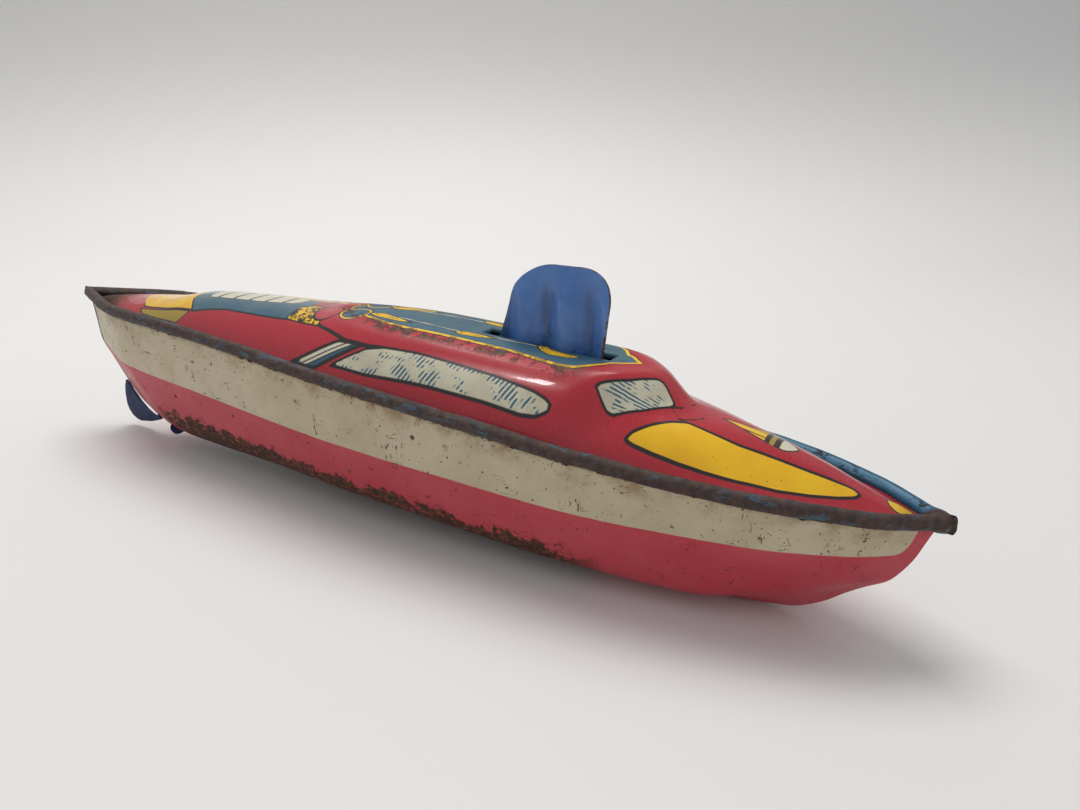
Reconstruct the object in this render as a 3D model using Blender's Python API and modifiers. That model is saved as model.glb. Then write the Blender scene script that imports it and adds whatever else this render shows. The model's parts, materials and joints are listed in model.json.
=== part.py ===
"""Tin toy boat with a press-down thumb lever that spins the propeller.

Metres, +Z up, +X towards the bow. The origin is on the centreline, halfway along the boat, on the
table it stands on. The boat stands on the forward part of its keel, which rises towards the stern.
"""
import bpy
import bmesh
from math import atan2, cos, pi, radians, sin, sqrt, tan
from mathutils import Matrix, Vector

MM = 0.001

# Hull lines
LENGTH = 260 * MM
SHEER = (0.150, -0.071, -0.048, 0.038)
CHINE_LINE = (0.030, -0.036, -0.008)
PLAN = ((0.0, 0.0), (0.04, 0.018), (0.12, 0.050), (0.3, 0.068), (0.5, 0.085), (0.7, 0.087),
        (0.86, 0.067), (0.95, 0.036), (1.0, 0.0))
WAIST_BREADTH = 0.958
CHINE_BREADTH = 0.80
KEEL_BREADTH = 0.24
WAIST_DEPTH = 0.46
KEEL_TOUCH_X = 76 * MM
KEEL_RISE = tan(radians(1.25))
FOREFOOT_RISE = 0.3 * MM
FOREFOOT_FULLNESS = Vector((0, 0, -2.0 * MM))
STEM_FULLNESS = Vector((1.2 * MM, 0, -1.0 * MM))
BOW_CHINE_RISE = 5.8 * MM
BOW_CHINE_X = 84 * MM
STERN_RISE = 2.6 * MM
STERN_RISE_X = (-92 * MM, -106 * MM)
SHELL = 0.6 * MM
GAP = 0.3 * MM
CROSSING = 0.8 * MM

# Ends of the lines that run along the hull, stern then bow
RIM_ENDS = (-129.2 * MM, 128.6 * MM)
WAIST_ENDS = (-126.5 * MM, 125.6 * MM)
CHINE_ENDS = (-112.5 * MM, 115.8 * MM)
KEEL_ENDS = (-104.0 * MM, 99.0 * MM)
BEAD_ENDS = (-129.6 * MM, 129.4 * MM)

# Rolled gunwale
BEAD_RADIUS = 1.7 * MM
BEAD_LIP = 0.62 * MM
BEAD_PAST_TIP = 0.004
HULL_DROP = 2.05 * MM

# Deck and cabin: height of the centreline above the rim, along the boat
CENTRELINE = ((-126, -1.8), (-115, 0.2), (-105, 1.4), (-95, 2.5), (-86, 3.6), (-80, 4.8), (-72, 6.7),
              (-62, 8.0), (-50, 9.0), (-40, 9.8), (-30, 10.6), (-20, 11.6), (-8, 12.8), (5, 13.7),
              (27, 14.5), (45, 14.8), (58, 15.2), (66, 15.5), (70, 15.3), (72, 14.5), (74.2, 12.7),
              (77, 10.3), (79.6, 9.0), (83, 8.4), (88, 7.8), (94, 7.0), (101, 5.7), (107, 4.3),
              (113, 2.5), (119, 0.6), (127, -1.8))
MARGIN_DROP = 0.9 * MM
STERN_MARGIN_DROP = 2.6 * MM
DECK_INSET = 2.1 * MM
CROWN_POWER = ((-127, 2.4), (-66, 2.6), (-30, 3.0), (0, 4.2), (20, 4.8), (66, 5.0), (78, 4.2), (92, 2.4),
               (104, 2.0), (127, 2.0))
FLARE = 1.25
SCREEN_SWEEP = 1.35
NOSE_RADIUS = 5.0 * MM
DECK_ENDS = (-122 * MM, 121.5 * MM)

# Lever
SLOT = (25.7 * MM, 59.6 * MM)
SLOT_HALF_WIDTH = 2.9 * MM
SLOT_CUT_HEIGHTS = (40 * MM, 60 * MM)
TAB_THICKNESS = 0.7 * MM
TAB_AFT = (29.6 * MM, 35.6 * MM)
TAB_FWD = (57.4 * MM, 59.6 * MM)
TAB_FOOT_Z = 42.0 * MM
ROOF_Z = 51.0 * MM
TAB_TOP_Z = 69.4 * MM
TAB_CORNER = 8.5 * MM
FLUTE_DEPTH = 1.2 * MM
TAB_Y = -1.2 * MM
ARM_THICKNESS = 1.0 * MM
RIVETS_X = (36 * MM, 51 * MM)
RIVET_Z = 43.6 * MM
SPRING_X = 33 * MM
SPRING_FOOT_Z = 8.2 * MM
SPRING_RADIUS = 3.0 * MM
SPRING_WIRE = 0.35 * MM
SEAT_HALF_LENGTH = 4.5 * MM
SEAT_HALF_WIDTH = 7.2 * MM
SEAT_THICKNESS = 0.8 * MM

# Gears: pitch radii come from the tooth counts
RACK_MODULE = 0.8 * MM
RACK_TEETH_FULL_CIRCLE = 140
RACK_PINION_TEETH = 10
SPUR_MODULE = 0.75 * MM
FIRST_GEAR_TEETH = 24
SECOND_PINION_TEETH = 9
CROWN_MODULE = 0.667 * MM
CROWN_TEETH = 27
SHAFT_PINION_TEETH = 9
SPUR_OFFSET = 5.7 * MM

# Propeller shaft
PROPELLER_X = -92 * MM
PROPELLER_Z = 6.4 * MM
SHAFT_SLOPE = radians(4)
SHAFT_RADIUS = 0.8 * MM
CROWN_AXLE_X = 5 * MM
FIRST_AXLE_ANGLE = radians(72)
AXLE_RADIUS = 1.0 * MM
CROWN_AXLE_HALF = 9.6 * MM
PIN_HOLE = 1.3 * MM
SHAFT_HOLE = 1.1 * MM
RUNNING_FIT = 0.08 * MM
FLYWHEEL_X = -23 * MM
FRONT_BEARING_X = -8.4 * MM
TUNNEL_HALF_WIDTH = 5.6 * MM
TUNNEL = (-98.6 * MM, -95.2 * MM, -85.0 * MM, -66.0 * MM)

# Frame
FRAME_Y = 8.0 * MM
FRAME_THICKNESS = 0.8 * MM
PILLARS = ((-12.4 * MM, 17.0 * MM), (63.5 * MM, 11.0 * MM), (68.8 * MM, 17.0 * MM))
STERN_TUBE = (-86.5 * MM, -42 * MM)
FRAME_OUTLINE = ((-15.5, 9.0), (0.0, 8.0), (12.0, 7.4), (21.0, 7.4), (25.0, 12.0), (56.0, 12.0),
                 (60.0, 7.4), (67.0, 7.4), (75.0, 22.0), (75.0, 31.0), (64.0, 32.5), (20.0, 32.5),
                 (6.0, 33.5), (-4.0, 27.0), (-15.5, 20.5))
STRAPS = (("frame_strap_aft", 13 * MM, 20 * MM), ("frame_strap_fore", 60 * MM, 67 * MM))

# Rudder
RUDDER_X = -102.0 * MM
RUDDER_AFT_X = -118.1 * MM
RUDDER_FOOT_Z = 2.0 * MM
RUDDER_POST_FOOT_Z = 4.6 * MM
RUDDER_POST_TOP_Z = 14.0 * MM
RUDDER_POST_RADIUS = 0.7 * MM
STEM_CURVE = ((-129, 31), (-126.7, 28.1), (-123.1, 25), (-118.0, 18.6), (-115.2, 14.6), (-111.2, 10.2),
              (-106, 6.6), (-100, 4.9))

COLLECTION = "toy_boat"
parts = None
cutters = None


def clear_scene():
    for obj in list(bpy.data.objects):
        bpy.data.objects.remove(obj)


def make_collections():
    global parts, cutters
    parts = bpy.data.collections.new(COLLECTION)
    cutters = bpy.data.collections.new("cutters")
    for collection in (parts, cutters):
        bpy.context.scene.collection.children.link(collection)


def material(name, colour, roughness, metallic):
    made = bpy.data.materials.new(name)
    made.use_nodes = True
    shader = made.node_tree.nodes["Principled BSDF"]
    shader.inputs["Base Color"].default_value = (*colour, 1)
    shader.inputs["Roughness"].default_value = roughness
    shader.inputs["Metallic"].default_value = metallic
    made.diffuse_color = (*colour, 1)
    return made


# Curves through named points

def smooth_curve(points):
    """A monotone cubic through (x, y) points, as a function of x."""
    xs = [p[0] for p in points]
    ys = [p[1] for p in points]
    slopes = [(ys[i + 1] - ys[i]) / (xs[i + 1] - xs[i]) for i in range(len(xs) - 1)]
    tangents = [slopes[0]]
    for before, after in zip(slopes, slopes[1:]):
        tangents.append(0 if before * after <= 0 else 2 * before * after / (before + after))
    tangents.append(slopes[-1])

    def value(x):
        i = max(0, min(len(slopes) - 1, sum(x > known for known in xs) - 1))
        width = xs[i + 1] - xs[i]
        s = (x - xs[i]) / width
        if s < 0:
            return ys[0] + tangents[0] * (x - xs[0])
        if s > 1:
            return ys[-1] + tangents[-1] * (x - xs[-1])
        low = (1 + 2 * s) * (1 - s) ** 2 * ys[i] + s * (1 - s) ** 2 * width * tangents[i]
        high = s * s * (3 - 2 * s) * ys[i + 1] - s * s * (1 - s) * width * tangents[i + 1]
        return low + high

    return value


def smooth_step(low, high, x):
    s = max(0.0, min(1.0, (x - low) / (high - low)))
    return s * s * (3 - 2 * s)


def rim_height(x):
    s = x / LENGTH
    return LENGTH * sum(c * s ** i for i, c in enumerate(SHEER))


plan_curve = smooth_curve(PLAN)
centreline_curve = smooth_curve(CENTRELINE)
crown_power = smooth_curve(CROWN_POWER)


def half_breadth(t):
    """Half breadth of the rim at t, 0 at the stern tip and 1 at the bow tip."""
    return LENGTH * max(0.0, plan_curve(t))


def half_breadth_at(x):
    return half_breadth((x - RIM_ENDS[0]) / (RIM_ENDS[1] - RIM_ENDS[0]))


def along(ends, t):
    return ends[0] + (ends[1] - ends[0]) * t


def keel_height(x):
    rise = (KEEL_TOUCH_X - x) * KEEL_RISE
    if x < KEEL_TOUCH_X:
        return rise + STERN_RISE * smooth_step(*STERN_RISE_X, x)
    return FOREFOOT_RISE * smooth_step(KEEL_TOUCH_X, KEEL_ENDS[1], x)


def chine_height(x):
    s = x / LENGTH
    level = LENGTH * sum(c * s ** i for i, c in enumerate(CHINE_LINE))
    return level + BOW_CHINE_RISE * smooth_step(BOW_CHINE_X, CHINE_ENDS[1], x)


# Hull

def hull_key_points(t):
    """Rim, waist, chine and keel edge of the starboard side at t, with y counted outwards."""
    breadth = half_breadth(t)
    rim_x = along(RIM_ENDS, t)
    rim = Vector((rim_x, breadth, rim_height(rim_x) - HULL_DROP))
    chine_x = along(CHINE_ENDS, t)
    chine = Vector((chine_x, CHINE_BREADTH * breadth, chine_height(chine_x)))
    waist_x = along(WAIST_ENDS, t)
    waist_z = rim.z + (chine.z - rim.z) * WAIST_DEPTH
    waist = Vector((waist_x, WAIST_BREADTH * breadth, waist_z))
    keel_x = along(KEEL_ENDS, t)
    keel = Vector((keel_x, KEEL_BREADTH * breadth, keel_height(keel_x)))
    return rim, waist, chine, keel


def bend(a, b, c, s):
    """A point on the rounded corner that leaves a towards b and arrives at c."""
    return a * (1 - s) ** 2 + b * (2 * s * (1 - s)) + c * s * s


def hull_section(t):
    """Points down one side at t, from the rim to just past the centreline."""
    rim, waist, chine, keel = hull_key_points(t)
    bow = smooth_step(0.92, 1.0, t)
    above = waist.lerp(chine, 0.55) + bow * STEM_FULLNESS
    below = chine.lerp(keel, 0.35) + bow * FOREFOOT_FULLNESS
    foot = chine.lerp(keel, 0.675) + bow * FOREFOOT_FULLNESS
    side = [rim, rim.lerp(waist, 0.5), waist, waist.lerp(chine, 0.3) + 0.75 * bow * STEM_FULLNESS, above]
    side += [bend(above, chine, below, s) for s in (0.35, 0.65)]
    side += [below, foot, keel, Vector((keel.x, 0, keel.z))]
    for point in side:
        point.y -= CROSSING
    return side


def stations(first, last, count, crowd=1.0):
    """Fractions from first to last, closer together towards the two ends when crowd is over 1."""
    found = []
    for i in range(count):
        s = i / (count - 1)
        eased = 0.5 - 0.5 * cos(pi * s)
        found.append(first + (last - first) * (s + (eased - s) * (crowd - 1)))
    return found


def grid_object(name, rows, mat, smooth=True):
    """An open surface through rows of points."""
    mesh = bpy.data.meshes.new(name)
    width = len(rows[0])
    points = [p for row in rows for p in row]
    faces = []
    for i in range(len(rows) - 1):
        for j in range(width - 1):
            a = i * width + j
            faces.append((a, a + 1, a + width + 1, a + width))
    mesh.from_pydata(points, [], faces)
    mesh.materials.append(mat)
    mesh.update()
    if smooth:
        mesh.shade_smooth()
        mesh.set_sharp_from_angle(angle=radians(40))
    obj = bpy.data.objects.new(name, mesh)
    parts.objects.link(obj)
    return obj


def solidify(obj, thickness, offset=-1.0):
    modifier = obj.modifiers.new("Thickness", "SOLIDIFY")
    modifier.thickness = thickness
    modifier.offset = offset


def mirror_across_centreline(obj):
    modifier = obj.modifiers.new("Port side", "MIRROR")
    modifier.use_axis = (False, True, False)
    modifier.use_bisect_axis = (False, True, False)
    modifier.use_bisect_flip_axis = (False, True, False)
    modifier.merge_threshold = 1e-6
    modifier.bisect_threshold = 1e-6


def to_starboard(rows):
    """Rows with y counted outwards, as world points on the starboard side."""
    return [[Vector((p.x, -p.y, p.z)) for p in row] for row in rows]


def make_hull(mat):
    fractions = stations(0.0, 1.0, 27, crowd=1.5)
    rows = to_starboard([hull_section(t) for t in fractions])
    hull = grid_object("hull", rows, mat)
    solidify(hull, SHELL)
    mirror_across_centreline(hull)
    return hull


def bottom_height(x, y):
    """Height of the hull's bottom at x and y, up to the chine."""
    at_keel = (x - KEEL_ENDS[0]) / (KEEL_ENDS[1] - KEEL_ENDS[0])
    at_chine = (x - CHINE_ENDS[0]) / (CHINE_ENDS[1] - CHINE_ENDS[0])
    keel_y = KEEL_BREADTH * half_breadth(max(0.0, at_keel))
    chine_y = CHINE_BREADTH * half_breadth(at_chine)
    share = max(0.0, (abs(y) - keel_y) / (chine_y - keel_y))
    return keel_height(x) + (chine_height(x) - keel_height(x)) * share


def tunnel_width(x):
    return TUNNEL_HALF_WIDTH * (0.5 + 0.5 * smooth_step(TUNNEL[0] - 1 * MM, TUNNEL[1], x))


def make_tunnel(mat):
    """A pressed arch over the propeller, set into an opening in the hull's bottom."""
    roof = PROPELLER_Z + TUNNEL_HALF_WIDTH + 0.4 * MM
    rows = []
    for x in (-99.2, -98.2, -97.4, -96.6, -95.8, -95.0, -92, -88, -85, -81, -77, -73, -69, -64):
        x *= MM
        strength = smooth_step(TUNNEL[0], TUNNEL[1], x) * smooth_step(TUNNEL[3], TUNNEL[2], x)
        width = tunnel_width(x) + 0.3 * MM
        lift = 1.5 * MM + 1.8 * MM * smooth_step(-84 * MM, -96 * MM, x)
        row = []
        for step in range(-6, 7):
            angle = step * pi / 12
            y = width * sin(angle)
            base = bottom_height(x, y) + SHELL + lift
            row.append(Vector((x, y, base + strength * max(0.0, roof - base) * cos(angle))))
        rows.append(row)
    tunnel = grid_object("propeller_tunnel", rows, mat)
    solidify(tunnel, SHELL, offset=-1.0)
    return tunnel


def tunnel_cutter():
    """The opening in the hull's bottom, narrower at its aft end."""
    aft = TUNNEL[0] + 0.8 * MM
    front = TUNNEL[3] - 4 * MM
    side = [(aft, 0.5 * TUNNEL_HALF_WIDTH), (TUNNEL[1], TUNNEL_HALF_WIDTH), (front, TUNNEL_HALF_WIDTH)]
    outline = side + [(x, -y) for x, y in reversed(side)]
    return prism_cutter("tunnel_opening", outline, -5 * MM, 12 * MM)


# Gunwale: a rolled strip that closes the joint of hull and deck

def gunwale_rows():
    """Sections of the starboard half, carried a little past the centreline at both tips."""
    profile = []
    for i in range(9):
        profile.append(polar(BEAD_RADIUS, radians(250 - i * 32.5)))
    for angle in (-5, 115, 240):
        profile.append(polar(BEAD_LIP, radians(angle)))
    rows = []
    fractions = [-BEAD_PAST_TIP] + stations(0.0, 1.0, 29, crowd=1.6) + [1 + BEAD_PAST_TIP]
    for t in fractions:
        x = along(BEAD_ENDS, t)
        ahead = half_breadth(min(1, max(0, t) + 0.004))
        behind = half_breadth(max(0, min(1, t) - 0.004))
        y = half_breadth(min(1, max(0, t)))
        if t < 0 or t > 1:
            y = -2.2 * MM
        run = LENGTH * (min(1, max(0, t) + 0.004) - max(0, min(1, t) - 0.004))
        slope = (ahead - behind) / run
        normal = Vector((-slope, 1, 0)).normalized()
        centre = Vector((x, y, rim_height(x)))
        row = []
        for out, up in profile:
            row.append(centre + normal * out + Vector((0, 0, up)))
        row.append(row[0])
        rows.append(row)
    return rows


def make_gunwale(mat):
    rows = to_starboard(gunwale_rows())
    gunwale = grid_object("gunwale_bead", rows, mat)
    cap_and_weld(gunwale)
    mirror_across_centreline(gunwale)
    return gunwale


def cap_and_weld(obj):
    """Closes a tube made as a grid whose first and last columns meet."""
    bm = bmesh.new()
    bm.from_mesh(obj.data)
    bmesh.ops.remove_doubles(bm, verts=bm.verts, dist=1e-7)
    bmesh.ops.holes_fill(bm, edges=[e for e in bm.edges if e.is_boundary])
    bmesh.ops.recalc_face_normals(bm, faces=bm.faces)
    bm.to_mesh(obj.data)
    bm.free()


# Deck and cabin

def margin_drop(x):
    return MARGIN_DROP + (STERN_MARGIN_DROP - MARGIN_DROP) * smooth_step(-60 * MM, -105 * MM, x)


def deck_half_breadth(x):
    return max(0.0, half_breadth_at(x) - DECK_INSET)


def deck_height(x, y):
    """Height of the outer surface of the deck pressing at x and y, counted from the table."""
    sweep = SCREEN_SWEEP * smooth_step(20 * MM, 50 * MM, x)
    behind = sqrt(y * y + NOSE_RADIUS ** 2) - NOSE_RADIUS
    centre = MM * centreline_curve((x + sweep * behind) / MM)
    edge = -margin_drop(x)
    breadth = max(1e-4, deck_half_breadth(x))
    share = min(1.0, abs(y) / breadth)
    flare = 1 + (FLARE - 1) * smooth_step(-50 * MM, -20 * MM, x)
    return rim_height(x) + edge + (centre - edge) * (1 - share ** crown_power(x / MM)) ** flare


def deck_stations():
    xs = [DECK_ENDS[0] + i * 11 * MM for i in range(17)]
    xs += [59 * MM, 62 * MM, 65 * MM, 68 * MM, 71 * MM, 73.5 * MM, 76 * MM, 79 * MM]
    xs += [84 * MM, 91 * MM, 98 * MM, 105 * MM, 111 * MM, 116.5 * MM, DECK_ENDS[1]]
    return xs


def make_deck(mat):
    shares = (1.0, 0.92, 0.82, 0.7, 0.55, 0.38, 0.19)
    rows = []
    for x in deck_stations():
        breadth = deck_half_breadth(x)
        row = [Vector((x, share * breadth, deck_height(x, share * breadth))) for share in shares]
        row.append(Vector((x, -CROSSING, deck_height(x, 0))))
        rows.append(row)
    deck = grid_object("deck", to_starboard(rows), mat)
    deck.data.flip_normals()
    solidify(deck, SHELL)
    mirror_across_centreline(deck)
    low = (SLOT[0], -SLOT_HALF_WIDTH, SLOT_CUT_HEIGHTS[0])
    high = (SLOT[1], SLOT_HALF_WIDTH, SLOT_CUT_HEIGHTS[1])
    cut(deck, box_cutter("lever_slot_cutter", low, high))
    return deck


# Cutters

def box_cutter(name, low, high):
    mesh = bpy.data.meshes.new(name)
    bm = bmesh.new()
    bmesh.ops.create_cube(bm, size=1.0)
    size = [b - a for a, b in zip(low, high)]
    centre = [(a + b) / 2 for a, b in zip(low, high)]
    bmesh.ops.scale(bm, vec=size, verts=bm.verts)
    bmesh.ops.translate(bm, vec=centre, verts=bm.verts)
    bm.to_mesh(mesh)
    bm.free()
    return as_cutter(name, mesh)


def prism_cutter(name, outline, bottom, top):
    mesh = bpy.data.meshes.new(name)
    bm = bmesh.new()
    base = bm.faces.new([bm.verts.new((x, y, bottom)) for x, y in outline])
    grown = bmesh.ops.extrude_face_region(bm, geom=[base])["geom"]
    moved = [item for item in grown if isinstance(item, bmesh.types.BMVert)]
    bmesh.ops.translate(bm, vec=(0, 0, top - bottom), verts=moved)
    bmesh.ops.recalc_face_normals(bm, faces=bm.faces)
    bm.to_mesh(mesh)
    bm.free()
    return as_cutter(name, mesh)


def rod_cutter(name, start, end, radius, segments=16):
    mesh = bpy.data.meshes.new(name)
    bm = bmesh.new()
    length = (end - start).length
    bmesh.ops.create_cone(bm, cap_ends=True, segments=segments, radius1=radius, radius2=radius, depth=length)
    turn = (end - start).to_track_quat("Z", "Y").to_matrix().to_4x4()
    bm.transform(Matrix.Translation((start + end) / 2) @ turn)
    bm.to_mesh(mesh)
    bm.free()
    return as_cutter(name, mesh)


def as_cutter(name, mesh):
    obj = bpy.data.objects.new(name, mesh)
    cutters.objects.link(obj)
    obj.hide_render = True
    obj.display_type = "WIRE"
    return obj


def cut(obj, cutter):
    modifier = obj.modifiers.new(cutter.name, "BOOLEAN")
    modifier.operation = "DIFFERENCE"
    modifier.object = cutter


# Turned and flat pieces

def turned(name, profile, mat, location, direction, segments=20):
    """A turned solid. The profile is (radius, height) points, outer side first from top to bottom."""
    mesh = bpy.data.meshes.new(name)
    closed = profile[0][0] > 0 and profile[-1][0] > 0
    points = [(r, 0, h) for r, h in profile]
    edges = [(i, i + 1) for i in range(len(points) - 1)]
    if closed:
        edges.append((len(points) - 1, 0))
    mesh.from_pydata(points, edges, [])
    mesh.materials.append(mat)
    obj = bpy.data.objects.new(name, mesh)
    parts.objects.link(obj)
    screw = obj.modifiers.new("Turn", "SCREW")
    screw.steps = segments
    screw.render_steps = segments
    screw.use_merge_vertices = True
    screw.merge_threshold = 1e-6
    screw.use_smooth_shade = True
    obj.location = location
    obj.rotation_euler = direction.to_track_quat("Z", "Y").to_euler()
    return obj


def ring_profile(outer, inner, bottom, top):
    return [(outer, top), (outer, bottom), (inner, bottom), (inner, top)]


def rod_profile(radius, bottom, top):
    return [(0, top), (radius, top), (radius, bottom), (0, bottom)]


def flat(name, outlines, thickness, mat, location, rotation):
    """A sheet piece: closed outlines in a plane, the first the outside and the rest its holes."""
    curve = bpy.data.curves.new(name, "CURVE")
    curve.dimensions = "2D"
    curve.fill_mode = "BOTH"
    curve.extrude = thickness / 2
    for outline in outlines:
        spline = curve.splines.new("POLY")
        spline.points.add(len(outline) - 1)
        for point, (x, y) in zip(spline.points, outline):
            point.co = (x, y, 0, 1)
        spline.use_cyclic_u = True
    curve.materials.append(mat)
    obj = bpy.data.objects.new(name, curve)
    parts.objects.link(obj)
    obj.location = location
    obj.rotation_euler = rotation
    return obj


UPRIGHT = (pi / 2, 0, 0)
UP = Vector((0, 0, 1))


def circle(x, y, radius, count=16):
    angles = [2 * pi * i / count for i in range(count)]
    return [(x + radius * cos(angle), y + radius * sin(angle)) for angle in angles]


def gear_outline(teeth, module, share=0.36, addendum=0.62, dedendum=0.95, phase=0.0):
    """Straight-sided teeth around a circle, with a tooth centred on the direction of phase."""
    pitch_radius = teeth * module / 2
    pitch = 2 * pi / teeth
    outline = []
    for i in range(teeth):
        middle = phase + i * pitch
        outline.append(polar(pitch_radius - dedendum * module, middle - 0.29 * pitch))
        outline.append(polar(pitch_radius + addendum * module, middle - 0.5 * (share - 0.14) * pitch))
        outline.append(polar(pitch_radius + addendum * module, middle + 0.5 * (share - 0.14) * pitch))
        outline.append(polar(pitch_radius - dedendum * module, middle + 0.29 * pitch))
    return outline


def polar(radius, angle):
    return (radius * cos(angle), radius * sin(angle))


# Places of the shafts

SHAFT_DIRECTION = Vector((cos(SHAFT_SLOPE), 0, sin(SHAFT_SLOPE)))
ACROSS = Vector((0, 1, 0))


def on_shaft(x):
    """The point of the propeller shaft's axis at x."""
    return Vector((x, 0, PROPELLER_Z + (x - PROPELLER_X) * tan(SHAFT_SLOPE)))


CROWN_AXLE = on_shaft(CROWN_AXLE_X)
SPUR_CENTRES = SPUR_MODULE * (FIRST_GEAR_TEETH + SECOND_PINION_TEETH) / 2
FIRST_AXLE = CROWN_AXLE + SPUR_CENTRES * Vector((cos(FIRST_AXLE_ANGLE), 0, sin(FIRST_AXLE_ANGLE)))
RACK_RADIUS = RACK_MODULE * RACK_TEETH_FULL_CIRCLE / 2
RACK_PINION_RADIUS = RACK_MODULE * RACK_PINION_TEETH / 2
LEVER_PIVOT = FIRST_AXLE + Vector((RACK_RADIUS + RACK_PINION_RADIUS, 0, 0))
CROWN_RADIUS = CROWN_MODULE * CROWN_TEETH / 2
CUP_Z = LEVER_PIVOT.z - 3.2 * MM


# Lever

def tab_outline(z):
    """Aft and forward edges of the thumb tab at height z."""
    share = (z - ROOF_Z) / (TAB_TOP_Z - ROOF_Z)
    aft = TAB_AFT[0] + (TAB_AFT[1] - TAB_AFT[0]) * share
    fwd = TAB_FWD[0] + (TAB_FWD[1] - TAB_FWD[0]) * share
    above = z - (TAB_TOP_Z - TAB_CORNER)
    if above > 0:
        trim = TAB_CORNER - sqrt(max(0.0, TAB_CORNER ** 2 - above ** 2))
        aft += trim
        fwd -= trim
    return aft, fwd


def make_thumb_tab(mat):
    heights = [TAB_FOOT_Z, 45.5 * MM, 48 * MM, 50 * MM, 56 * MM, 61 * MM]
    heights += [TAB_TOP_Z - TAB_CORNER * (1 - sin(radians(a))) for a in (18, 38, 58, 76, 90)]
    columns = 14
    rows = []
    for z in heights:
        aft, fwd = tab_outline(z)
        depth = FLUTE_DEPTH * smooth_step(TAB_FOOT_Z + 3 * MM, ROOF_Z - 1 * MM, z)
        depth *= 1 - smooth_step(TAB_TOP_Z - 9 * MM, TAB_TOP_Z - 0.5 * MM, z)
        row = []
        for j in range(columns + 1):
            x = aft + (fwd - aft) * j / columns
            share = (x - TAB_AFT[0]) / (TAB_FWD[1] - TAB_AFT[0])
            wave = cos(5 * pi * (share - 0.06) / 0.9 + pi)
            row.append(Vector((x, TAB_Y - depth * wave, z)))
        rows.append(row)
    tab = grid_object("thumb_tab", rows, mat)
    solidify(tab, TAB_THICKNESS, offset=0.0)
    for x in RIVETS_X:
        start = Vector((x, -6 * MM, RIVET_Z))
        cut(tab, rod_cutter("rivet_hole_%d" % round(x / MM), start, start + 12 * MM * ACROSS, 1.3 * MM, 12))
    return tab


def rack_points():
    """Outline of the toothed sector on the lever arm, relative to the pivot, from the bottom up."""
    pitch = 2 * pi / RACK_TEETH_FULL_CIRCLE
    points = []
    for i in range(-1, 7):
        middle = pi - (i + 0.5) * pitch
        low = RACK_RADIUS - 0.95 * RACK_MODULE
        high = RACK_RADIUS + 0.62 * RACK_MODULE
        for radius, side in ((low, 0.29), (high, 0.11), (high, -0.11), (low, -0.29)):
            points.append(polar(radius, middle + side * pitch))
    return points


def make_lever_arm(mat):
    teeth = rack_points()
    top_x = -LEVER_PIVOT.x
    body = [(-6 * MM, -4.2 * MM), (-30 * MM, -1.0 * MM), (-50 * MM, -3.6 * MM)]
    body += teeth
    body += [(-50 * MM, 16.8 * MM), (30 * MM + top_x, 20.4 * MM), (55 * MM + top_x, 20.4 * MM)]
    body += [(58 * MM + top_x, 15 * MM), (-2 * MM, 5.0 * MM), (3.5 * MM, 3.5 * MM), (4.4 * MM, 0)]
    body += [(2 * MM, -4 * MM)]
    holes = [circle(0, 0, 2.6 * MM, 20)]
    for x in RIVETS_X:
        holes.append(circle(x + top_x, RIVET_Z - LEVER_PIVOT.z, 1.3 * MM, 12))
    holes.append([(-44 * MM, 3 * MM), (-26 * MM, 3.5 * MM), (-24 * MM, 10 * MM), (-44 * MM, 11 * MM)][::-1])
    return flat("lever_arm", [body] + holes, ARM_THICKNESS, mat, LEVER_PIVOT, UPRIGHT)


def make_lever(mats):
    made = [make_thumb_tab(mats["lever_blue"]), make_lever_arm(mats["tin"])]
    bush = [(2.3 * MM, 3.0 * MM), (2.3 * MM, -3.0 * MM), (1.3 * MM, -3.0 * MM), (1.3 * MM, 3.0 * MM)]
    made.append(turned("lever_bush", bush, mats["brass"], LEVER_PIVOT, ACROSS))
    for index, x in enumerate(RIVETS_X):
        head = [(0, 1.5 * MM), (1.8 * MM, 1.1 * MM), (1.9 * MM, 0.85 * MM), (1.0 * MM, 0.85 * MM),
                (1.0 * MM, -1.95 * MM), (1.9 * MM, -1.95 * MM), (1.8 * MM, -2.2 * MM), (0, -2.6 * MM)]
        name = ("tab_rivet_aft", "tab_rivet_fore")[index]
        made.append(turned(name, head, mats["steel"], Vector((x, 0, RIVET_Z)), ACROSS, 12))
    made.append(make_spring_cup(mats["tin"]))
    return made


def make_spring_cup(mat):
    cup = [(0, 0.8 * MM), (4.2 * MM, 0.8 * MM), (4.2 * MM, -1.2 * MM), (3.7 * MM, -1.2 * MM),
           (3.7 * MM, 0), (0, 0)]
    return turned("spring_cup", cup, mat, Vector((SPRING_X, 0, CUP_Z)), UP)


def coil_points(radius, pitch, turns, per_turn=10):
    points = []
    for i in range(int(turns * per_turn) + 1):
        angle = 2 * pi * i / per_turn
        points.append((radius * cos(angle), radius * sin(angle), pitch * i / per_turn))
    return points


def wire(name, points, radius, mat, location=(0, 0, 0), rotation=(0, 0, 0), resolution=1):
    curve = bpy.data.curves.new(name, "CURVE")
    curve.dimensions = "3D"
    curve.bevel_depth = radius
    curve.bevel_resolution = resolution
    curve.use_fill_caps = True
    spline = curve.splines.new("POLY")
    spline.points.add(len(points) - 1)
    for point, co in zip(spline.points, points):
        point.co = (*co, 1)
    curve.materials.append(mat)
    obj = bpy.data.objects.new(name, curve)
    parts.objects.link(obj)
    obj.location = location
    obj.rotation_euler = rotation
    return obj


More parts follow.
